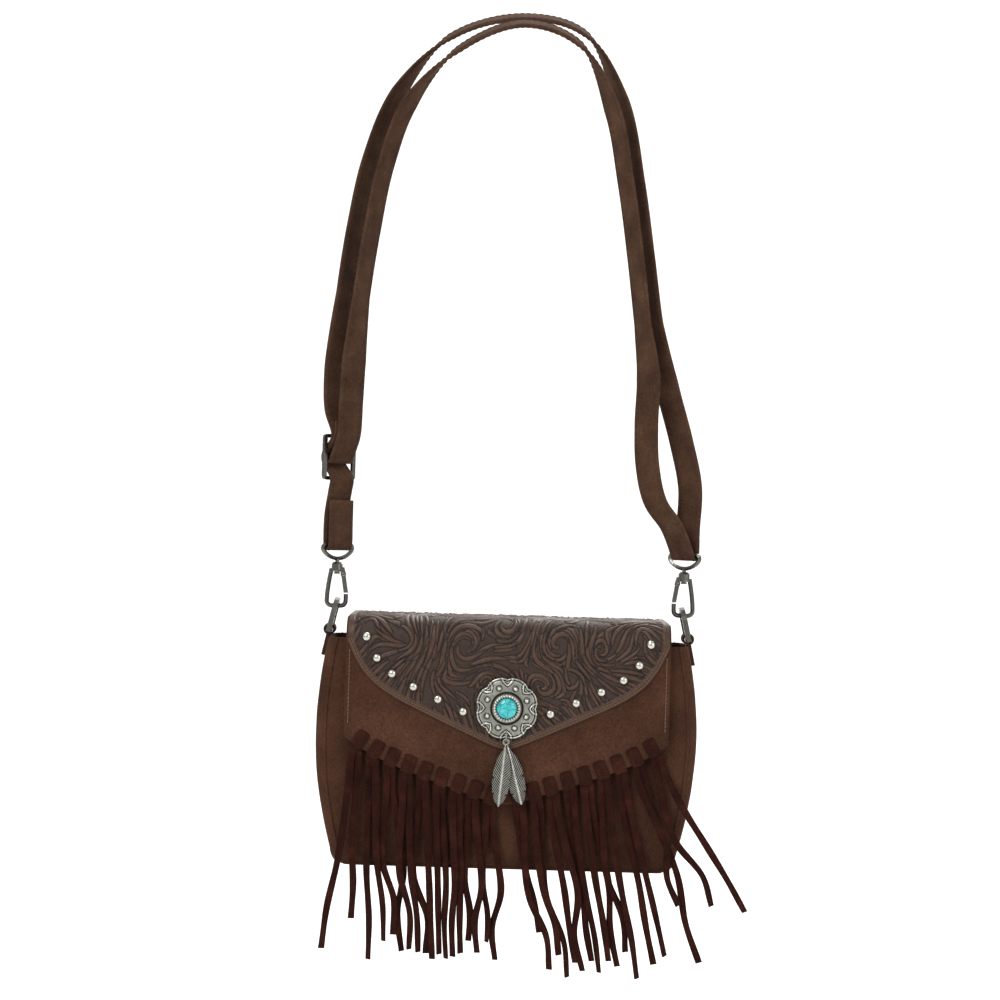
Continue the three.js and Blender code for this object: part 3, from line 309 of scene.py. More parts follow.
GUNMETAL = plain_metal("gunmetal", lin(108, 106, 100), 0.26)
STUD_METAL = plain_metal("stud_metal", lin(206, 204, 192), 0.22)
THREAD = material("thread", lin(100, 74, 54), 0.8)[0]
DARK_THREAD = material("dark_thread", lin(58, 36, 26), 0.85)[0]


def lining_material():
    mat, tree, shader = material("lining_fabric", lin(54, 42, 33), 0.9)
    weave = noise_node(tree, 700.0, 2.0, 0.5)
    tone = ramp(tree, weave.outputs["Fac"], [(0.3, lin(44, 34, 27)), (0.7, lin(64, 50, 39))])
    tree.links.new(tone.outputs["Color"], shader.inputs["Base Color"])
    return mat


LINING = lining_material()


def stone_material():
    mat, tree, shader = material("turquoise", lin(43, 177, 183), 0.18, 0, 0.6)
    cloud = ramp(tree, noise_node(tree, 180.0, 4.0, 0.6).outputs["Fac"],
                 [(0.3, lin(28, 150, 162)), (0.55, lin(56, 188, 190)), (0.8, lin(120, 214, 206))])
    cells = tree.nodes.new("ShaderNodeTexVoronoi")
    cells.feature = "DISTANCE_TO_EDGE"
    cells.inputs["Scale"].default_value = 210.0
    coords = tree.nodes.new("ShaderNodeTexCoord")
    tree.links.new(coords.outputs["Object"], cells.inputs["Vector"])
    veins = ramp(tree, cells.outputs["Distance"], [(0.0, (1, 1, 1)), (0.05, (0, 0, 0))])
    vein = tree.nodes.new("ShaderNodeRGB")
    vein.outputs[0].default_value = (*lin(38, 52, 44), 1)
    tree.links.new(mix(tree, veins.outputs["Color"], cloud.outputs["Color"], vein.outputs[0]),
                   shader.inputs["Base Color"])
    return mat


STONE = stone_material()


def dress(obj, mat, body=None):
    obj.data.materials.clear()
    obj.data.materials.append(mat)
    if body:
        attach(obj, body)
    return obj


def relief(obj, values):
    attribute = obj.data.attributes.new("relief", "FLOAT", "POINT")
    attribute.data.foreach_set("value", np.asarray(values, np.float32))


# Bag body: soft rounded rings from the mouth to the base
def half_width(z):
    s = (z - MOUTH_Z) / (-156.0 - MOUTH_Z)
    s = np.clip(s, 0, 1)
    return (1 - s) ** 2 * 120 + 2 * s * (1 - s) * 136.4 + s * s * 116


def body_shell():
    around, levels = 200, 74
    zs = np.concatenate([np.linspace(MOUTH_Z, CORNER_Z, levels),
                         CORNER_Z - CORNER_DROP * np.sin(np.linspace(0.12, 1, 12) * math.pi / 2)])
    points = []
    for z in zs:
        sink = max(0.0, (CORNER_Z - z) / CORNER_DROP)
        shrink = 1 - math.sqrt(max(0.0, 1 - sink ** 2)) if sink else 0.0
        w = half_width(z) - 7 * shrink
        d = 28 - 5 * shrink
        t = np.arange(around) / around * 2 * math.pi
        c, s = np.cos(t), np.sin(t)
        x = w * np.sign(c) * np.abs(c) ** 0.16
        y = d * np.sign(s) * np.abs(s) ** 0.22
        swell = 2.2 * np.cos(x / w * math.pi / 2) * math.sin(math.pi * min(1, max(0, (MOUTH_Z - z) / 148)))
        y = y + np.sign(s) * np.abs(s) ** 2 * swell
        points.append(np.stack([x, y, np.full_like(x, z)], 1))
    points = np.array(points)
    flat = points.reshape(-1, 3)
    for i, p in enumerate(flat):
        n = noise.noise(Vector((p[0] * 0.018, p[1] * 0.02, p[2] * 0.03))) * 1.1
        n += noise.noise(Vector((p[0] * 0.05 + 9, p[1] * 0.05, p[2] * 0.06))) * 0.45
        out = np.array([0.35 * np.sign(p[0]) * (abs(p[0]) / 125) ** 6,
                        np.sign(p[1]) * min(1, abs(p[1]) / 26), 0])
        flat[i] = p + out * n
    count = len(zs)
    faces = tube_faces(count, around, False, False)
    inner = (points[:3] * np.array([0.984, 0.93, 1])).reshape(-1, 3)
    base = len(flat)
    allp = np.vstack([flat, inner])
    for i in range(2):
        for j in range(around):
            k = (j + 1) % around
            faces.append((base + i * around + j, base + i * around + k,
                          base + (i + 1) * around + k, base + (i + 1) * around + j))
    for j in range(around):
        k = (j + 1) % around
        faces.append((j, k, base + k, base + j))
    faces.append(tuple((count - 1) * around + j for j in reversed(range(around))))
    inside = points * np.array([0.979, 0.9, 1]) + np.array([0, 0, 0.6])
    inside[-12:, :, 2] += 2.4
    cloth = mesh("lining_bag", inside[1:].reshape(-1, 3),
                 [tuple(reversed(f)) for f in tube_faces(count - 1, around, False, False)]
                 + [tuple((count - 2) * around + j for j in range(around))])
    dress(cloth, LINING, "bag")
    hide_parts("lining")
    obj = mesh("suede_body", allp, faces)
    dress(obj, SUEDE, "bag")
    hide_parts("front_panel", "back_panel", "gusset")
    return points


shell = body_shell()


# Raised seams where the front and back panels meet the gusset, along the shell's corners and lower edge
def body_seams(rings):
    store = ([], [])
    low = len(rings) - 4
    front = np.vstack([rings[:low, 125], rings[low, 126:175], rings[:low, 175][::-1]])
    back = np.vstack([rings[:low, 75], rings[low, 26:75][::-1], rings[:low, 25][::-1]])
    for path in (front, back):
        fresh(*wire(path, 1.1, (0, 1, 0), False, 8), store)
    dress(mesh("body_seams", *store), SUEDE, "bag")


body_seams(shell)


# Flap sheets
def softened(x):
    return np.hypot(x, 6.0) - 6.0


def flap_edge(x):
    return -123 + 0.34 * softened(x) + 8 * (np.abs(x) / HALF_FLAP) ** 6


def over_edge(x):
    return -86.5 + 0.46 * softened(x) + 26 * (np.abs(x) / HALF_FLAP) ** 10


def run_at(z):
    outer = ROLL + OVER_TO
    return TOP_RUN + ROLL * np.arccos(np.clip((z - ROLL_Z) / outer, 0, 1)) + np.maximum(0, ROLL_Z - z)


def flap_point(x, run, height):
    """Place on the bent flap; a run below zero goes down the back of the bag."""
    x, run, height = np.broadcast_arrays(*(np.asarray(v, float) for v in (x, run, height)))
    turn = np.clip(run - TOP_RUN, 0, ROLL_RUN) / ROLL
    below = np.maximum(0, run - TOP_RUN - ROLL_RUN)
    reach = ROLL + height
    y = np.where(run <= TOP_RUN, BACK - run, ROLL_Y - reach * np.sin(turn))
    z = np.where(run <= TOP_RUN, TOP_Z + height, ROLL_Z + reach * np.cos(turn) - below)
    bend = 4.0
    back = np.clip(-run / bend, 0, math.pi / 2)
    down = np.maximum(0, -run - bend * math.pi / 2)
    y = np.where(run < 0, BACK + height * np.sin(back), y)
    z = np.where(run < 0, TOP_Z - bend + (bend + height) * np.cos(back) - down, z)
    return np.stack([x, y, z], -1)


def flap_normal(run):
    turn = np.clip(np.asarray(run, float) - TOP_RUN, 0, ROLL_RUN) / ROLL
    return np.stack([np.zeros_like(turn), -np.sin(turn), np.cos(turn)], -1)


def sheet_mesh(name, xs, shares, edge, back_run, low, high, half, skirt=False):
    """Closed sheet along the flap: high and low give the heights of both faces over (x, run)."""
    grid_x, grid_s = np.meshgrid(xs * half, shares, indexing="ij")
    runs = back_run + (run_at(edge(grid_x)) - back_run) * grid_s
    top = flap_point(grid_x, runs, high(grid_x, runs)).reshape(-1, 3)
    under = flap_point(grid_x, runs, low(grid_x, runs)).reshape(-1, 3)
    a, b = len(xs), len(shares)
    base = a * b
    faces = []
    for i in range(a - 1):
        for j in range(b - 1):
            p, q = i * b + j, (i + 1) * b + j
            faces.append((p, p + 1, q + 1, q))
            if not skirt:
                faces.append((base + p, base + q, base + q + 1, base + p + 1))
    rim = [i * b for i in range(a)] + [(a - 1) * b + j for j in range(1, b)]
    rim += [i * b + b - 1 for i in reversed(range(a - 1))] + [j for j in reversed(range(1, b - 1))]
    if skirt:
        under = under[rim]
    for k, p in enumerate(rim):
        q = rim[(k + 1) % len(rim)]
        a, b = (base + k, base + (k + 1) % len(rim)) if skirt else (base + p, base + q)
        faces.append((p, q, b, a))
    return mesh(name, np.vstack([top, under]), faces), grid_x, runs


HINGE = row([(0, BACK, TOP_Z)])[0]


def ripple(x, run):
    out = np.zeros_like(x)
    for i, (a, b) in enumerate(zip(x.ravel(), run.ravel())):
        out.ravel()[i] = (noise.noise(Vector((a * 0.03, b * 0.035, 3.0))) * 0.55
                          + noise.noise(Vector((a * 0.09, b * 0.1, 8.0))) * 0.18)
    return out


def flap_sheet():
    xs = np.linspace(-1, 1, 150)
    shares = np.linspace(0, 1, 90)
    wave = lambda x, run: np.where(run > TOP_RUN + ROLL_RUN + 30, ripple(x, run) * 0.5, 0)
    high = lambda x, run: FLAP_T + np.minimum(0, wave(x, run))
    low = lambda x, run: np.zeros_like(x)
    obj, _, _ = sheet_mesh("suede_flap", xs, shares, flap_edge, -24.0, low, high, HALF_FLAP)
    dress(obj, SUEDE)
    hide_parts("flap_panel")
    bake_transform(obj)
    return obj


flap = flap_sheet()


# Tooled overlay: blades that swirl round these centres as (x, height, strength), pressed into the leather
SWIRLS = [
    (-30, -20, 9), (-66, -16, -8), (-92, -4, 6), (32, -16, -9), (60, -22, 8), (88, -8, -7),
    (0, -6, 7), (-48, 10, 7),
    (48, 8, -6), (-14, -40, -6), (22, -44, 6), (-78, 24, -8), (78, 22, 8),
    (-26, 34, -8), (24, 34, 8), (0, 56, 6),
    (-60, 48, 7), (60, 50, -7), (-44, -40, 5), (46, -38, -5), (100, 30, 6), (-100, 32, -6),
]


def swirl(p):
    v = np.zeros(2)
    for x, z, strength in SWIRLS:
        d = p - (x, z)
        v += strength * np.array([-d[1], d[0]]) / (d @ d + 30) + 0.25 * abs(strength) * d / (d @ d + 90)
    return v / max(np.hypot(*v), 1e-9)


def strokes():
    """Every blade as points, half widths and height; each cuts into those laid before it."""
    pick = np.random.default_rng(11)
    out = []
    for _ in range(1000):
        p = np.array([pick.uniform(-106, 106), pick.uniform(-84, 62)])
        length = pick.uniform(12, 30)
        pts = [p]
        for _ in range(14):
            p = p + swirl(p) * length / 14
            pts.append(p)
        share = np.linspace(0, 1, 15)
        widths = np.sin(np.pi * (0.06 + 0.92 * share ** 0.75)) * (0.5 + length * 0.022) + 0.15
        out.append((np.array(pts), widths, pick.uniform(0.7, 1.0)))
    return out


def relief_field(x, h):
    """Height of the tooling: below 0 in the cut lines, 0 on the ground, about 1 on the leaves."""
    flat = np.stack([x.ravel(), h.ravel()], 1)
    value = np.zeros(len(flat))
    for pts, widths, height in strokes():
        lo, hi = pts.min(0) - 3, pts.max(0) + 3
        pick = np.where(np.all((flat > lo) & (flat < hi), 1))[0]
        if not len(pick):
            continue
        p = flat[pick]
        near = np.full(len(pick), 1e9)
        outside = np.full(len(pick), 1e9)
        for i in range(len(pts) - 1):
            d = pts[i + 1] - pts[i]
            t = np.clip(((p - pts[i]) @ d) / max(d @ d, 1e-9), 0, 1)
            dist = np.hypot(*(p - pts[i] - t[:, None] * d).T)
            w = widths[i] + (widths[i + 1] - widths[i]) * t
            near = np.minimum(near, dist / w)
            outside = np.minimum(outside, dist - w)
        dome = (height * np.sqrt(np.clip(1 - 0.8 * near ** 2, 0, 1))
                - 0.3 * np.exp(-(near / 0.2) ** 2) * (widths.max() > 1.2))
        cut = np.exp(-((outside - 0.35) / 0.4) ** 2)
        value[pick] = np.where(near < 1, dome, value[pick] * (1 - cut) - 0.5 * cut)
    return value.reshape(x.shape)


def overlay_sheet():
    xs = np.linspace(-1, 1, 401)
    shares = np.linspace(0, 1, 216)
    half = HALF_FLAP - 1
    memory = {}

    def high(x, run):
        h = TOP_RUN + ROLL_RUN + ROLL_Z - run
        value = relief_field(x, h)
        gap = (run_at(over_edge(x)) - run)
        slope = np.gradient(over_edge(xs * half), xs * half)[:, None]
        inset = gap / np.hypot(1, slope)
        side = half - np.abs(x)
        rim = np.minimum(inset, side * 1.0)
        keep = np.clip((rim - 3.9) / 1.0, 0, 1)
        bead = np.exp(-((rim - 3.9) / 0.6) ** 2) * 0.6
        grain = np.sin(x * 5.2 + 1.7 * np.sin(h * 3.9)) * np.sin(h * 5.6 + 1.3 * np.sin(x * 4.3)) * 0.16
        ground = np.where(value > 0.05, 0, grain)
        total = keep * (value + ground) + (1 - keep) * 0.5 + bead * 0.35
        # This relief value sets the tooled leather's colour: low values give painted shade in the cut lines and
        # ground.
        memory["relief"] = np.clip(total * 0.5 + 0.3, 0, 1)
        edge = np.clip(rim / 1.2, 0, 1)
        return (OVER_TO - 0.75 + 0.75 * np.clip(total, -0.6, 1.2)
                - (1 - np.sqrt(np.clip(1 - (1 - edge) ** 2, 0, 1))) * 0.7)

    low = lambda x, run: np.full_like(x, OVER_FROM)
    obj, _, _ = sheet_mesh("tooled_flap_overlay", xs, shares, over_edge, 1.0, low, high, half, True)
    flat = memory["relief"].ravel()
    relief(obj, np.concatenate([flat, np.full(len(obj.data.vertices) - len(flat), 0.4)]))
    dress(obj, TOOLED, "flap")
    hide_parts("tooled_overlay")
    return obj


overlay_sheet()


def along_edge(edge, inset, half, step, offset=0.0):
    """Points along a flap sheet's lower edge, drawn in by inset: x, height on the front."""
    xs = np.linspace(-half, half, 3000)
    zs = edge(xs)
    slope = np.gradient(zs, xs)
    scale = np.hypot(1, slope)
    px, pz = xs - slope / scale * inset, zs + inset / scale
    keep = np.abs(px) < half - inset * 0.7
    px, pz = px[keep], pz[keep]
    length = np.concatenate([[0], np.cumsum(np.hypot(np.diff(px), np.diff(pz)))])
    at = np.arange(offset, length[-1], step)
    return np.interp(at, length, px), np.interp(at, length, pz)


def sew(name, rows, mat, body, height, thickness=0.36, fill=0.72):
    store = ([], [])
    for px, pz in rows:
        for i in range(len(px) - 1):
            ra, rb = run_at(np.array([pz[i], pz[i] + (pz[i + 1] - pz[i]) * fill]))
            xa, xb = px[i], px[i] + (px[i + 1] - px[i]) * fill
            stitch(store, flap_point(xa, ra, height), flap_point(xb, rb, height),
                   flap_normal((ra + rb) / 2), thickness)
    return dress(mesh(name, *store), mat, body)


sew("overlay_stitches", [along_edge(over_edge, d, HALF_FLAP - 1, 2.5) for d in (1.3, 2.7)],
    THREAD, "flap", OVER_TO - 0.33)


def side_stitches():
    store = ([], [])
    for side in (-1, 1):
        runs = np.arange(run_at(np.array(-18.0)), run_at(np.array(-74.0)), 2.6)
        for i in range(len(runs) - 1):
            x = side * (HALF_FLAP - 2.6)
            if runs[i] < run_at(over_edge(np.array(x))) + 2:
                continue
            stitch(store, flap_point(x, runs[i], FLAP_T), flap_point(x, runs[i] + 1.9, FLAP_T),
                   flap_normal(runs[i]), 0.45)
    dress(mesh("flap_side_stitches", *store), THREAD, "flap")


side_stitches()


# Studs
def studs():
    steps = 20
    edge_x = np.linspace(STUD_FIRST, STUD_LAST, 400)
    edge_z = over_edge(edge_x)
    length = np.concatenate([[0], np.cumsum(np.hypot(np.diff(edge_x), np.diff(edge_z)))])
    for i in range(12):
        side = -1 if i < 6 else 1
        x = side * float(np.interp(length[-1] * (i % 6) / 5, length, edge_x))
        slope = float(over_edge(np.array(x + 0.5)) - over_edge(np.array(x - 0.5)))
        away = math.hypot(1, slope)
        run = float(run_at(np.array(float(over_edge(np.array(x))) + STUD_INSET / away)))
        centre = flap_point(x - slope * STUD_INSET / away, run, OVER_TO - 0.2)
        normal = flap_normal(run)
        across = np.array([1.0, 0, 0])
        up = np.cross(normal, across)
        points = []
        profile = [(2.95, 0.0), (3.0, 0.35), (2.75, 0.75)]
        profile += [(2.6 * math.cos(t), 0.75 + 1.5 * math.sin(t)) for t in np.linspace(0.12, 1.45, 8)]
        for r, h in profile:
            for k in range(steps):
                a = k / steps * 2 * math.pi
                points.append(centre + across * r * math.cos(a) + up * r * math.sin(a) + normal * h)
        faces = [tuple(reversed(f)) for f in tube_faces(len(profile), steps)]
        name = "stud_%02d" % (i + 1)
        obj = mesh("dome_" + name, points, faces)
        dress(obj, STUD_METAL, "flap")
        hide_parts(name)


studs()


# Concho, stone and charm
def face_on(x, up, out):
    return np.stack(np.broadcast_arrays(x, CONCHO_Y - np.asarray(out, float),
                                        CONCHO_Z + np.asarray(up, float)), -1)


def concho():
    turns, rings = 192, 44
    ang = np.arange(turns) / turns * 2 * math.pi
    lobe = np.abs(np.sin(ang * 4)) ** 0.7
    edge = 20.8 - 1.7 * (1 - lobe)
    share = np.linspace(0.34, 1, rings)
    points, height = [], []
    for s in share:
        r = edge * s
        h = 3.6 - 1.9 * np.clip((r - 7) / 11, 0, 1) ** 1.5
        rim = np.exp(-((s - 0.965) / 0.02) ** 2) * 0.7 + np.exp(-((s - 0.885) / 0.016) ** 2) * 0.35
        notch = ((ang * 8 / (2 * math.pi) + 0.5) % 1 - 0.5) * 2 * math.pi / 8
        dx, dy = edge * 0.965 - r * np.cos(notch), r * np.sin(notch)
        crescent = np.exp(-((np.hypot(dx, dy) - 3.4) / 0.55) ** 2) * 0.75
        bead_t = ((ang * 8 / (2 * math.pi)) % 1 - 0.5) * 2 * math.pi / 8
        bead = np.sqrt(np.clip(1 - (((r - 14) ** 2 + (14 * bead_t) ** 2) / 1.5 ** 2), 0, 1)) * 1.5
        work = np.maximum(np.maximum(rim, crescent), bead)
        bead_gap = np.hypot(r - 14, 14 * bead_t) - 1.9
        dark = (np.exp(-((s - 0.925) / 0.014) ** 2) + np.exp(-((r - 10.4) / 0.6) ** 2)
                + np.exp(-(bead_gap / 0.35) ** 2) * 0.7)
        ring = np.hypot(dx, dy)
        dark = dark + np.exp(-((ring - 2.4) / 0.35) ** 2) + np.exp(-((ring - 4.4) / 0.35) ** 2)
        h = h + work * 0.9 - np.clip(dark, 0, 1) * 0.25
        points.append(face_on(r * np.cos(ang), r * np.sin(ang), h))
        height.append(np.clip(0.4 + work * 0.5 - dark * 0.42, 0, 1))
    back = [face_on(edge * 0.99 * np.cos(ang), edge * 0.99 * np.sin(ang), np.full(turns, 1.2)),
            face_on(8 * np.cos(ang), 8 * np.sin(ang), np.full(turns, 1.2)),
            face_on(7.4 * np.cos(ang), 7.4 * np.sin(ang), np.full(turns, -0.2))]
    points = np.concatenate(points + back)
    faces = tube_faces(rings + 3, turns)
    obj = mesh("concho_face", points, faces)
    relief(obj, np.concatenate(height + [np.full(turns, 0.2)] * 3))
    dress(obj, SILVER, "flap")
    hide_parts("concho_plate")
    # Serrated bezel
    teeth = 28
    turns = teeth * 6
    ang = np.arange(turns) / turns * 2 * math.pi
    saw = np.abs(np.sin(ang * teeth / 2))
    rows = [(9.8, 3.0, 0, 0.1), (9.7, 3.7, 0, 0.2), (9.2, 4.6, 0.1, 0.6),
            (8.5, 5.2, 0.25, 0.75), (7.7, 5.5, 0.45, 0.75), (7.0, 5.2, 0.45, 0.6), (6.7, 3.2, 0, 0.1)]
    points, height = [], []
    for r, h, groove, shine in rows:
        rr = r - groove * 0.4 * saw
        points.append(face_on(rr * np.cos(ang), rr * np.sin(ang), h - groove * saw))
        height.append(np.clip(shine - 1.3 * groove * saw, 0, 1))
    bezel = mesh("concho_bezel", np.concatenate(points), tube_faces(len(rows), turns))
    relief(bezel, np.concatenate(height))
    dress(bezel, SILVER, "flap")
    # Stone
    turns = 64
    ang = np.arange(turns) / turns * 2 * math.pi
    rows = [(6.75, 3.6)] + [(6.75 * math.cos(t), 4.3 + 3.0 * math.sin(t)) for t in np.linspace(0, 1.54, 14)]
    points = np.concatenate([face_on(r * np.cos(ang), r * np.sin(ang), np.full(turns, h)) for r, h in rows])
    gem = mesh("stone_cabochon", points, [tuple(reversed(f)) for f in tube_faces(len(rows), turns)])
    dress(gem, STONE, "flap")
    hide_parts("turquoise_stone")


concho()


def charm():
    ring_up, ring_out = -18.45, 3.95
    t = np.arange(40) / 40 * 2 * math.pi
    path = face_on(np.zeros(40), ring_up + 3.2 * np.cos(t), ring_out + 3.2 * np.sin(t))
    obj = mesh("ring_wire", *wire(path, 0.48, (1, 0, 0)))
    relief(obj, np.full(len(obj.data.vertices), 0.5))
    dress(obj, SILVER, "flap")
    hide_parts("jump_ring")
    hang = ring_up - 3.2 + 0.55 + 0.5 + 0.3
    for name, lean, out in (("feather_left", -5, 0.85), ("feather_right", 15, -0.85)):
        across, down = 61, 121
        u = np.linspace(-1, 1, across)
        v = np.linspace(0, 1, down)
        length, half = 41.0, 6.0
        grow = np.interp(v, [0, 0.05, 0.2, 0.45, 0.62, 0.8, 0.93, 1],
                         [0.12, 0.3, 0.7, 1, 1, 0.86, 0.5, 0.03]) * half
        gu, gv = np.meshgrid(u, v, indexing="ij")
        droop = 5.5 * np.abs(gu) ** 1.4 * np.clip(1.1 - gv, 0.1, 1)
        nick = np.exp(-((gv - 0.56) / 0.012) ** 2) * np.clip((np.abs(gu) - 0.55) / 0.45, 0, 1)
        nick += np.exp(-((gv - 0.82) / 0.012) ** 2) * np.clip((np.abs(gu) - 0.5) / 0.5, 0, 1)
        x = gu * grow[None, :] * (1 - 0.45 * nick)
        y = -3.4 - gv * length * (1 - 0.14 * np.abs(gu) ** 2 * (1 - gv)) - droop * (1 - gv) * 0.6
        barbs = 0.5 + 0.5 * np.sin((gv * length * 1.0 + np.abs(gu) * 6.5) * 2 * math.pi / 1.9)
        quill = np.exp(-(x / 0.55) ** 2)
        h = (0.2 + 0.4 * barbs * np.clip(np.abs(x) / 0.8, 0, 1) * (np.abs(gu) < 0.985)
             + 0.75 * quill + 0.35 * (1 - np.abs(gu) ** 2))
        c, s = math.cos(math.radians(lean)), math.sin(math.radians(lean))
        spin = lambda a, b: (a * c - b * s, a * s + b * c)
        fx, fy = spin(x, y)
        front = face_on(fx, hang + fy, ring_out + out - 0.3 + h * 0.8).reshape(-1, 3)
        rear = face_on(fx, hang + fy, ring_out + out - 0.55).reshape(-1, 3)
        base = across * down
        faces = []
        for i in range(across - 1):
            for j in range(down - 1):
                p, q = i * down + j, (i + 1) * down + j
                faces += [(p, q, q + 1, p + 1), (base + p, base + p + 1, base + q + 1, base + q)]
        rim = [i * down for i in range(across)] + [(across - 1) * down + j for j in range(1, down)]
        rim += [i * down + down - 1 for i in reversed(range(across - 1))]
        rim += [j for j in reversed(range(1, down - 1))]
        for k, p in enumerate(rim):
            q = rim[(k + 1) % len(rim)]
            faces.append((q, p, base + p, base + q))
        store = ([], [])
        fresh(np.vstack([front, rear]), faces, store)
        loop = np.arange(24) / 24 * 2 * math.pi
        ex, ey = spin(1.7 * np.cos(loop), -1.7 + 1.7 * np.sin(loop))
        fresh(*wire(face_on(ex, hang + ey, np.full(24, ring_out + out)), 0.42, (0, 1, 0)), store)
        obj = mesh(name + "_charm", *store)
        values = np.concatenate([np.clip(0.02 + 0.46 * barbs + 0.55 * quill, 0, 1).ravel(), np.full(base, 0.3)])
        relief(obj, np.concatenate([values, np.full(24 * 12, 0.5)]))
        dress(obj, SILVER, name)
        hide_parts(name)


charm()


# Laces: a band round the edge and two hanging tails each; ends as [x, z] from the flap's tip to its corner
LEFT_ENDS = [
    [(-3, -226), (-9, -214)], [(-15, -221), (-21, -214)], [(-26, -222), (-31, -224)],
    [(-35.5, -226), (-40, -223)], [(-44.5, -226), (-49, -223)], [(-54, -222), (-60, -220)],
    [(-65, -222), (-71, -211)], [(-77, -215), (-87, -228)], [(-99, -201), (-118, -221)],
]
RIGHT_ENDS = [
    [(26, -207), (33, -231)], [(39, -221), (45, -236)], [(50, -226), (55, -231)],
    [(61, -225), (66, -232)], [(72, -224), (78, -228)], [(83, -218), (91, -235)],
    [(102, -226), (109, -220)], [(117, -186), (132, -224)], [(139, -186), (161, -189)],
]


def lace(order, side, index, ends):
    x = side * (LACE_FIRST + LACE_PITCH * index)
    z = float(flap_edge(np.array(x)))
    slope = float(flap_edge(np.array(x + 0.5)) - flap_edge(np.array(x - 0.5)))
    along = np.array([1, 0, slope]) / math.hypot(1, slope)
    inward = np.array([-along[2], 0, along[0]])
    out = np.array([0, -1.0, 0])
    root = np.array([x, FLAP_IN, z])
    store = ([], [])
    # Band through the slot and round the edge, puffed in the middle
    t = np.arange(40) / 40 * 2 * math.pi
    depth, tall = 1.75, 6.0
    px = np.sign(np.cos(t)) * np.abs(np.cos(t)) ** 0.6 * depth + 1.0
    pv = np.sign(np.sin(t)) * np.abs(np.sin(t)) ** 0.75 * tall + 4.4
    lean = rng.uniform(-0.9, 0.9)
    path = root + np.outer(px, out) + np.outer(pv, inward) + np.outer((pv - 4.4) * 0.06 * lean, along)
    nxt = unit(np.roll(path, -1, 0) - np.roll(path, 1, 0))
    face = np.cross(nxt, np.broadcast_to(along, nxt.shape))
    profile = [(-1, -0.2), (-0.93, -0.9), (-0.5, -1), (0, -1), (0.5, -1), (0.93, -0.9), (1, -0.2),
               (1, 0.3), (0.93, 0.9), (0.5, 1.25), (0, 1.45), (-0.5, 1.25), (-0.93, 0.9),
               (-1, 0.3)]
    pinch = 1 - 0.16 * np.abs(np.sin(t)) ** 8
    rings = np.stack([path + along * (4.35 * u) * pinch[:, None] - face * 0.6 * v for u, v in profile], 1)
    fresh(rings.reshape(-1, 3), tube_faces(40, len(profile), True), store)
    loop_faces = len(store[1])
    # Tails
    for k, (end_x, end_z) in enumerate(ends):
        start = root + along * side * (k - 0.5) * 4.4 - inward * 0.9 + out * 1.0
        layer = (2 * index + k) % 3
        hang = FLAP_IN - 1 - (layer - 1) * 1.7
        dx, dz = end_x - start[0], end_z - start[2]
        sway, roll = rng.uniform(-1, 1, 2) * (6.0, 1.2)
        points = [start, (start[0] + dx * 0.09, hang, start[2] + dz * 0.13),
                  (start[0] + dx * 0.28 + sway * 0.6, hang - abs(roll) * 0.8, start[2] + dz * 0.34),
                  (start[0] + dx * 0.54 + sway, hang, start[2] + dz * 0.57),
                  (start[0] + dx * 0.8 - sway * 0.35, hang - abs(roll), start[2] + dz * 0.8),
                  (end_x, hang, end_z)]
        path, where = spline(points, [8, 12, 12, 12, 12])
        share = where / where[-1]
        twist = np.clip(share - 0.25, 0, 1) ** 1.3 * rng.uniform(-1.5, 1.5)
        across = np.stack([np.cos(twist), np.sin(twist), np.zeros_like(twist)], 1)
        path[:, 1] -= np.abs(np.sin(twist)) * 0.6
        width = 5.0 * (1 - 0.15 * share) + 0.3 * np.sin(share * 23 + order)
        fresh(*ribbon(path, across, width, 1.1), store)
    name = "fringe_lace_%02d" % order
    obj = mesh("suede_" + name, *store)
    # One lace in two tones: the band gets the lighter painted-light copy, the tails the darker painted-shade
    # copy.
    dress(obj, LACE_PAINTED_LIGHT)
    obj.data.materials.append(LACE_PAINTED_SHADE)
    obj.data.polygons.foreach_set("material_index",
                                  [0] * loop_faces + [1] * (len(obj.data.polygons) - loop_faces))
    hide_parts(name)
    edge = row([root + out])[0]
    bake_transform(obj)
    return obj


fringe = []
for side, ends_list in ((-1, LEFT_ENDS), (1, RIGHT_ENDS)):
    for index, ends in enumerate(ends_list):
        fringe.append(lace(len(fringe) + 1, side, index, ends))


# Strap
TURN = math.radians(38)
CLIP_X, CLIP_Z = 117.323278, 3.746647
LOOP_BAR = CLIP_Z + 23 + 6.5 + 0.8 + 11
LEFT_W = np.array([math.cos(TURN), math.sin(TURN), 0])
RIGHT_W = np.array([-math.cos(TURN), math.sin(TURN), 0])
LEFT_RISE = np.array([0.5, 0.86, 0.05])
RIGHT_RISE = np.array([-0.5, 0.86, 0.05])
CROWN = np.array([0, 0.92, 0.38])


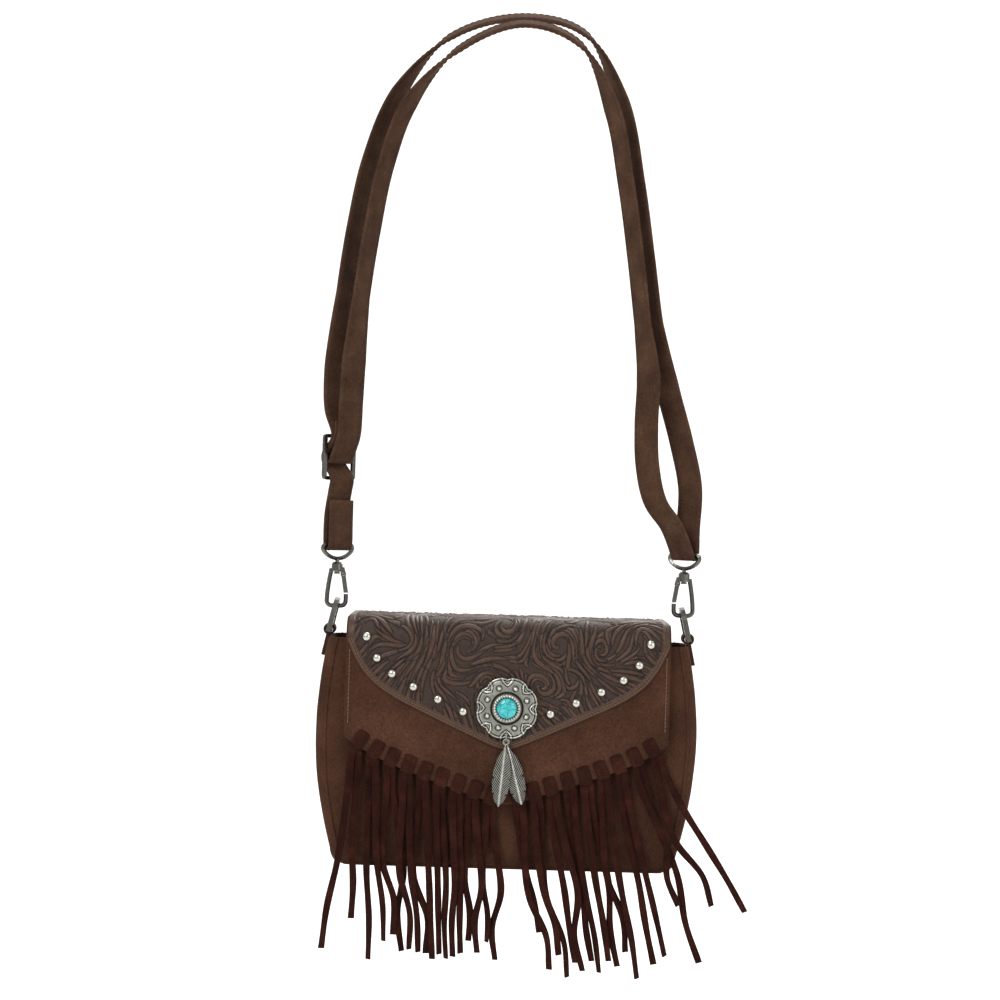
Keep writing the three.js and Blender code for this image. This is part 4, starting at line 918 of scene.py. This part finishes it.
def strap_route():
    route = []
    add = lambda width, *points: route.extend((np.array(p, float), width) for p in points)
    left, right = np.array([-CLIP_X, 0, LOOP_BAR]), np.array([CLIP_X, 0, LOOP_BAR])
    left_face, right_face = np.array([LEFT_W[1], -LEFT_W[0], 0]), np.array([-RIGHT_W[1], RIGHT_W[0], 0])
    up = np.array([0, 0, 1.0])
    radius = 1.5 + 0.4 + 1.1
    slider = np.array([left[0] - 1, 1, 104])
    weave = lambda forward, rise: slider + left_face * forward + up * rise
    reach, over = (31 - 2.6) / 2, 1.2 + 1.9 + 1.1
    wrap, layer = math.hypot(2.6, 2.4) / 2 + 0.4 + 1.1, 3.3
    turn = lambda centre, facing, r: [centre + facing * r * math.cos(a) - up * r * math.sin(a)
                                      for a in np.linspace(0, math.pi, 5)]
    sewn = left + left_face * radius
    add(LEFT_W, sewn + up * 30, sewn + up * 14, *turn(left, left_face, radius),
        left - left_face * radius + up * 20)
    add(LEFT_W, weave(over - 1.5, -reach - 8), weave(over, -reach),
        weave(-wrap - layer, -3), weave(-wrap - layer, 3), weave(over, reach))
    add(LEFT_W, (-121, 0, 136), (-122, 2, 165))
    add(LEFT_RISE, (-118, 4, 215), (-112, 5, 262), (-103, 7, 308), (-86, 8, 352))
    add(CROWN, (-51, 11, 393), (-2, 10.5, 407.4), (40, 10.5, 397.4))
    add(RIGHT_RISE, (66, 8, 350), (78, 6, 295), (86, 5, 245), (93, 5, 200))
    add(RIGHT_W, (102, 5, 160), (113, 5, 122), (120, 4, 90), right - right_face * radius + up * 16,
        *reversed(turn(right, right_face, radius)))
    add(RIGHT_W, (108, -5, 63), (96, -6, 80), (90, -6, 104), (88.5, -5, 132), (89, -5, 164))
    add(RIGHT_RISE, (84, -5, 200), (78, -4, 245), (70, -4, 295), (59, -7, 344))
    add(CROWN, (36, -10.5, 386), (-2, -10.5, 398.6), (-45, -12, 380))
    add(LEFT_RISE, (-77, -7, 344), (-92, -5, 302), (-100, -5, 258), (-106, -6, 212))
    add(LEFT_W, (-109.5, -7, 170), (-110.5, -9, 142), weave(over + 2 * layer, reach),
        *turn(slider, left_face, wrap))
    add(LEFT_W, weave(-wrap, 2.5), weave(over + layer, reach), weave(over + layer + 0.6, reach + 10))
    return route


def strap():
    route = strap_route()
    points = [p for p, _ in route]
    counts = [max(3, int(np.linalg.norm(points[i + 1] - points[i]) / 2.6)) for i in range(len(points) - 1)]
    path, where = spline(points, counts)
    low = np.clip(where.astype(int), 0, len(route) - 2)
    share = (where - low)[:, None]
    widths = np.array([w for _, w in route])
    across = widths[low] * (1 - share) + widths[low + 1] * share
    obj = mesh("leather_strap", *ribbon(path, across, STRAP_WIDTH, STRAP_THICK))
    dress(obj, STRAP, "bag")
    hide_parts("strap")
    length = np.concatenate([[0], np.cumsum(np.linalg.norm(np.diff(path, axis=0), axis=1))])
    print("strap length", length[-1])
    _, side, face = frames(path, across)
    store = ([], [])
    at = np.arange(4, length[-1] - 4, 4.2)
    take = lambda values, s: np.array([np.interp(s, length, values[:, i]) for i in range(3)])
    for s in at:
        for edge in (-7.6, 7.6):
            for front in (-1, 1):
                n = unit(take(face, s + 1.4)) * front
                a = take(path + side * edge, s) + n * 1.08
                b = take(path + side * edge, s + 2.8) + n * 1.08
                stitch(store, a, b, n, 0.34, 0.08)
    dress(mesh("strap_stitches", *store), DARK_THREAD, "bag")


strap()

# Hardware keeps its CAD shape, with softened edges
for name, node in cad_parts.items():
    if name.startswith(("slider", "d_ring", "clip_", "gate_", "strap_loop", "snap_", "concho_screw")):
        node.data.materials.clear()
        node.data.materials.append(GUNMETAL)
        soft = node.modifiers.new("soft", "BEVEL")
        soft.width = 0.0006 if name.startswith(("slider", "d_ring")) else 0.00025
        soft.segments = 3
        soft.limit_method = "ANGLE"
        soft.angle_limit = math.radians(40)
        node.data.polygons.foreach_set("use_smooth", [True] * len(node.data.polygons))
    elif name in ("lining", "flap_lining"):
        node.data.materials.clear()
        node.data.materials.append(LINING)
    elif name.startswith("side_tab"):
        node.data.materials.clear()
        node.data.materials.append(SUEDE)
        soft = node.modifiers.new("soft", "BEVEL")
        soft.width = 0.0006
        soft.segments = 3

# Floor, backdrop, light and camera
LOW = CAD_BOX[0][2] - 0.16


def stage():
    curve = [(1.6 + 0.9 * math.sin(a), LOW + 0.9 - 0.9 * math.cos(a)) for a in np.linspace(0, math.pi / 2, 12)]
    sweep = [(-4, LOW)] + curve + [(2.5, 4)]
    points = [(x, y, z) for y, z in sweep for x in (-5, 5)]
    faces = [(2 * i, 2 * i + 1, 2 * i + 3, 2 * i + 2) for i in range(len(sweep) - 1)]
    floor = mesh("studio_floor", points, faces, True, True)
    floor.data.materials.append(material("studio", (0.9, 0.9, 0.89), 0.9, 0, 0.1)[0])


stage()

world = bpy.data.worlds.new("studio_world")
bpy.context.scene.world = world
world.use_nodes = True
world.node_tree.nodes["Background"].inputs["Color"].default_value = (1, 1, 1, 1)
world.node_tree.nodes["Background"].inputs["Strength"].default_value = 0.6


def lamp(name, place, aim, size, power):
    data = bpy.data.lights.new(name, "AREA")
    data.size = size
    data.energy = power
    obj = bpy.data.objects.new(name, data)
    obj.location = place
    obj.rotation_euler = (Vector(aim) - Vector(place)).to_track_quat("-Z", "Y").to_euler()
    bpy.context.scene.collection.objects.link(obj)


AIM = (0, 0, -0.4)
lamp("key", (-0.9, -1.5, 0.9), AIM, 0.9, 22)
lamp("fill", (1.3, -1.3, 0.1), AIM, 1.2, 8)
lamp("rim", (0.5, 1.1, 0.7), AIM, 0.8, 12)
lamp("sweep", (0, 1.0, 1.6), (0, 2.2, -0.6), 2.0, 40)

camera = bpy.data.cameras.new("camera")
view = bpy.data.objects.new("camera", camera)
bpy.context.scene.collection.objects.link(view)
bpy.context.scene.camera = view
camera.sensor_fit = "HORIZONTAL"
camera.angle = 2 * math.atan(330 / 1500)
view.location = row([(-8.6, -1537, 78.3)])[0]
view.rotation_euler = (math.pi / 2, math.radians(-1.7), 0)
bpy.context.scene.view_settings.view_transform = "Standard"
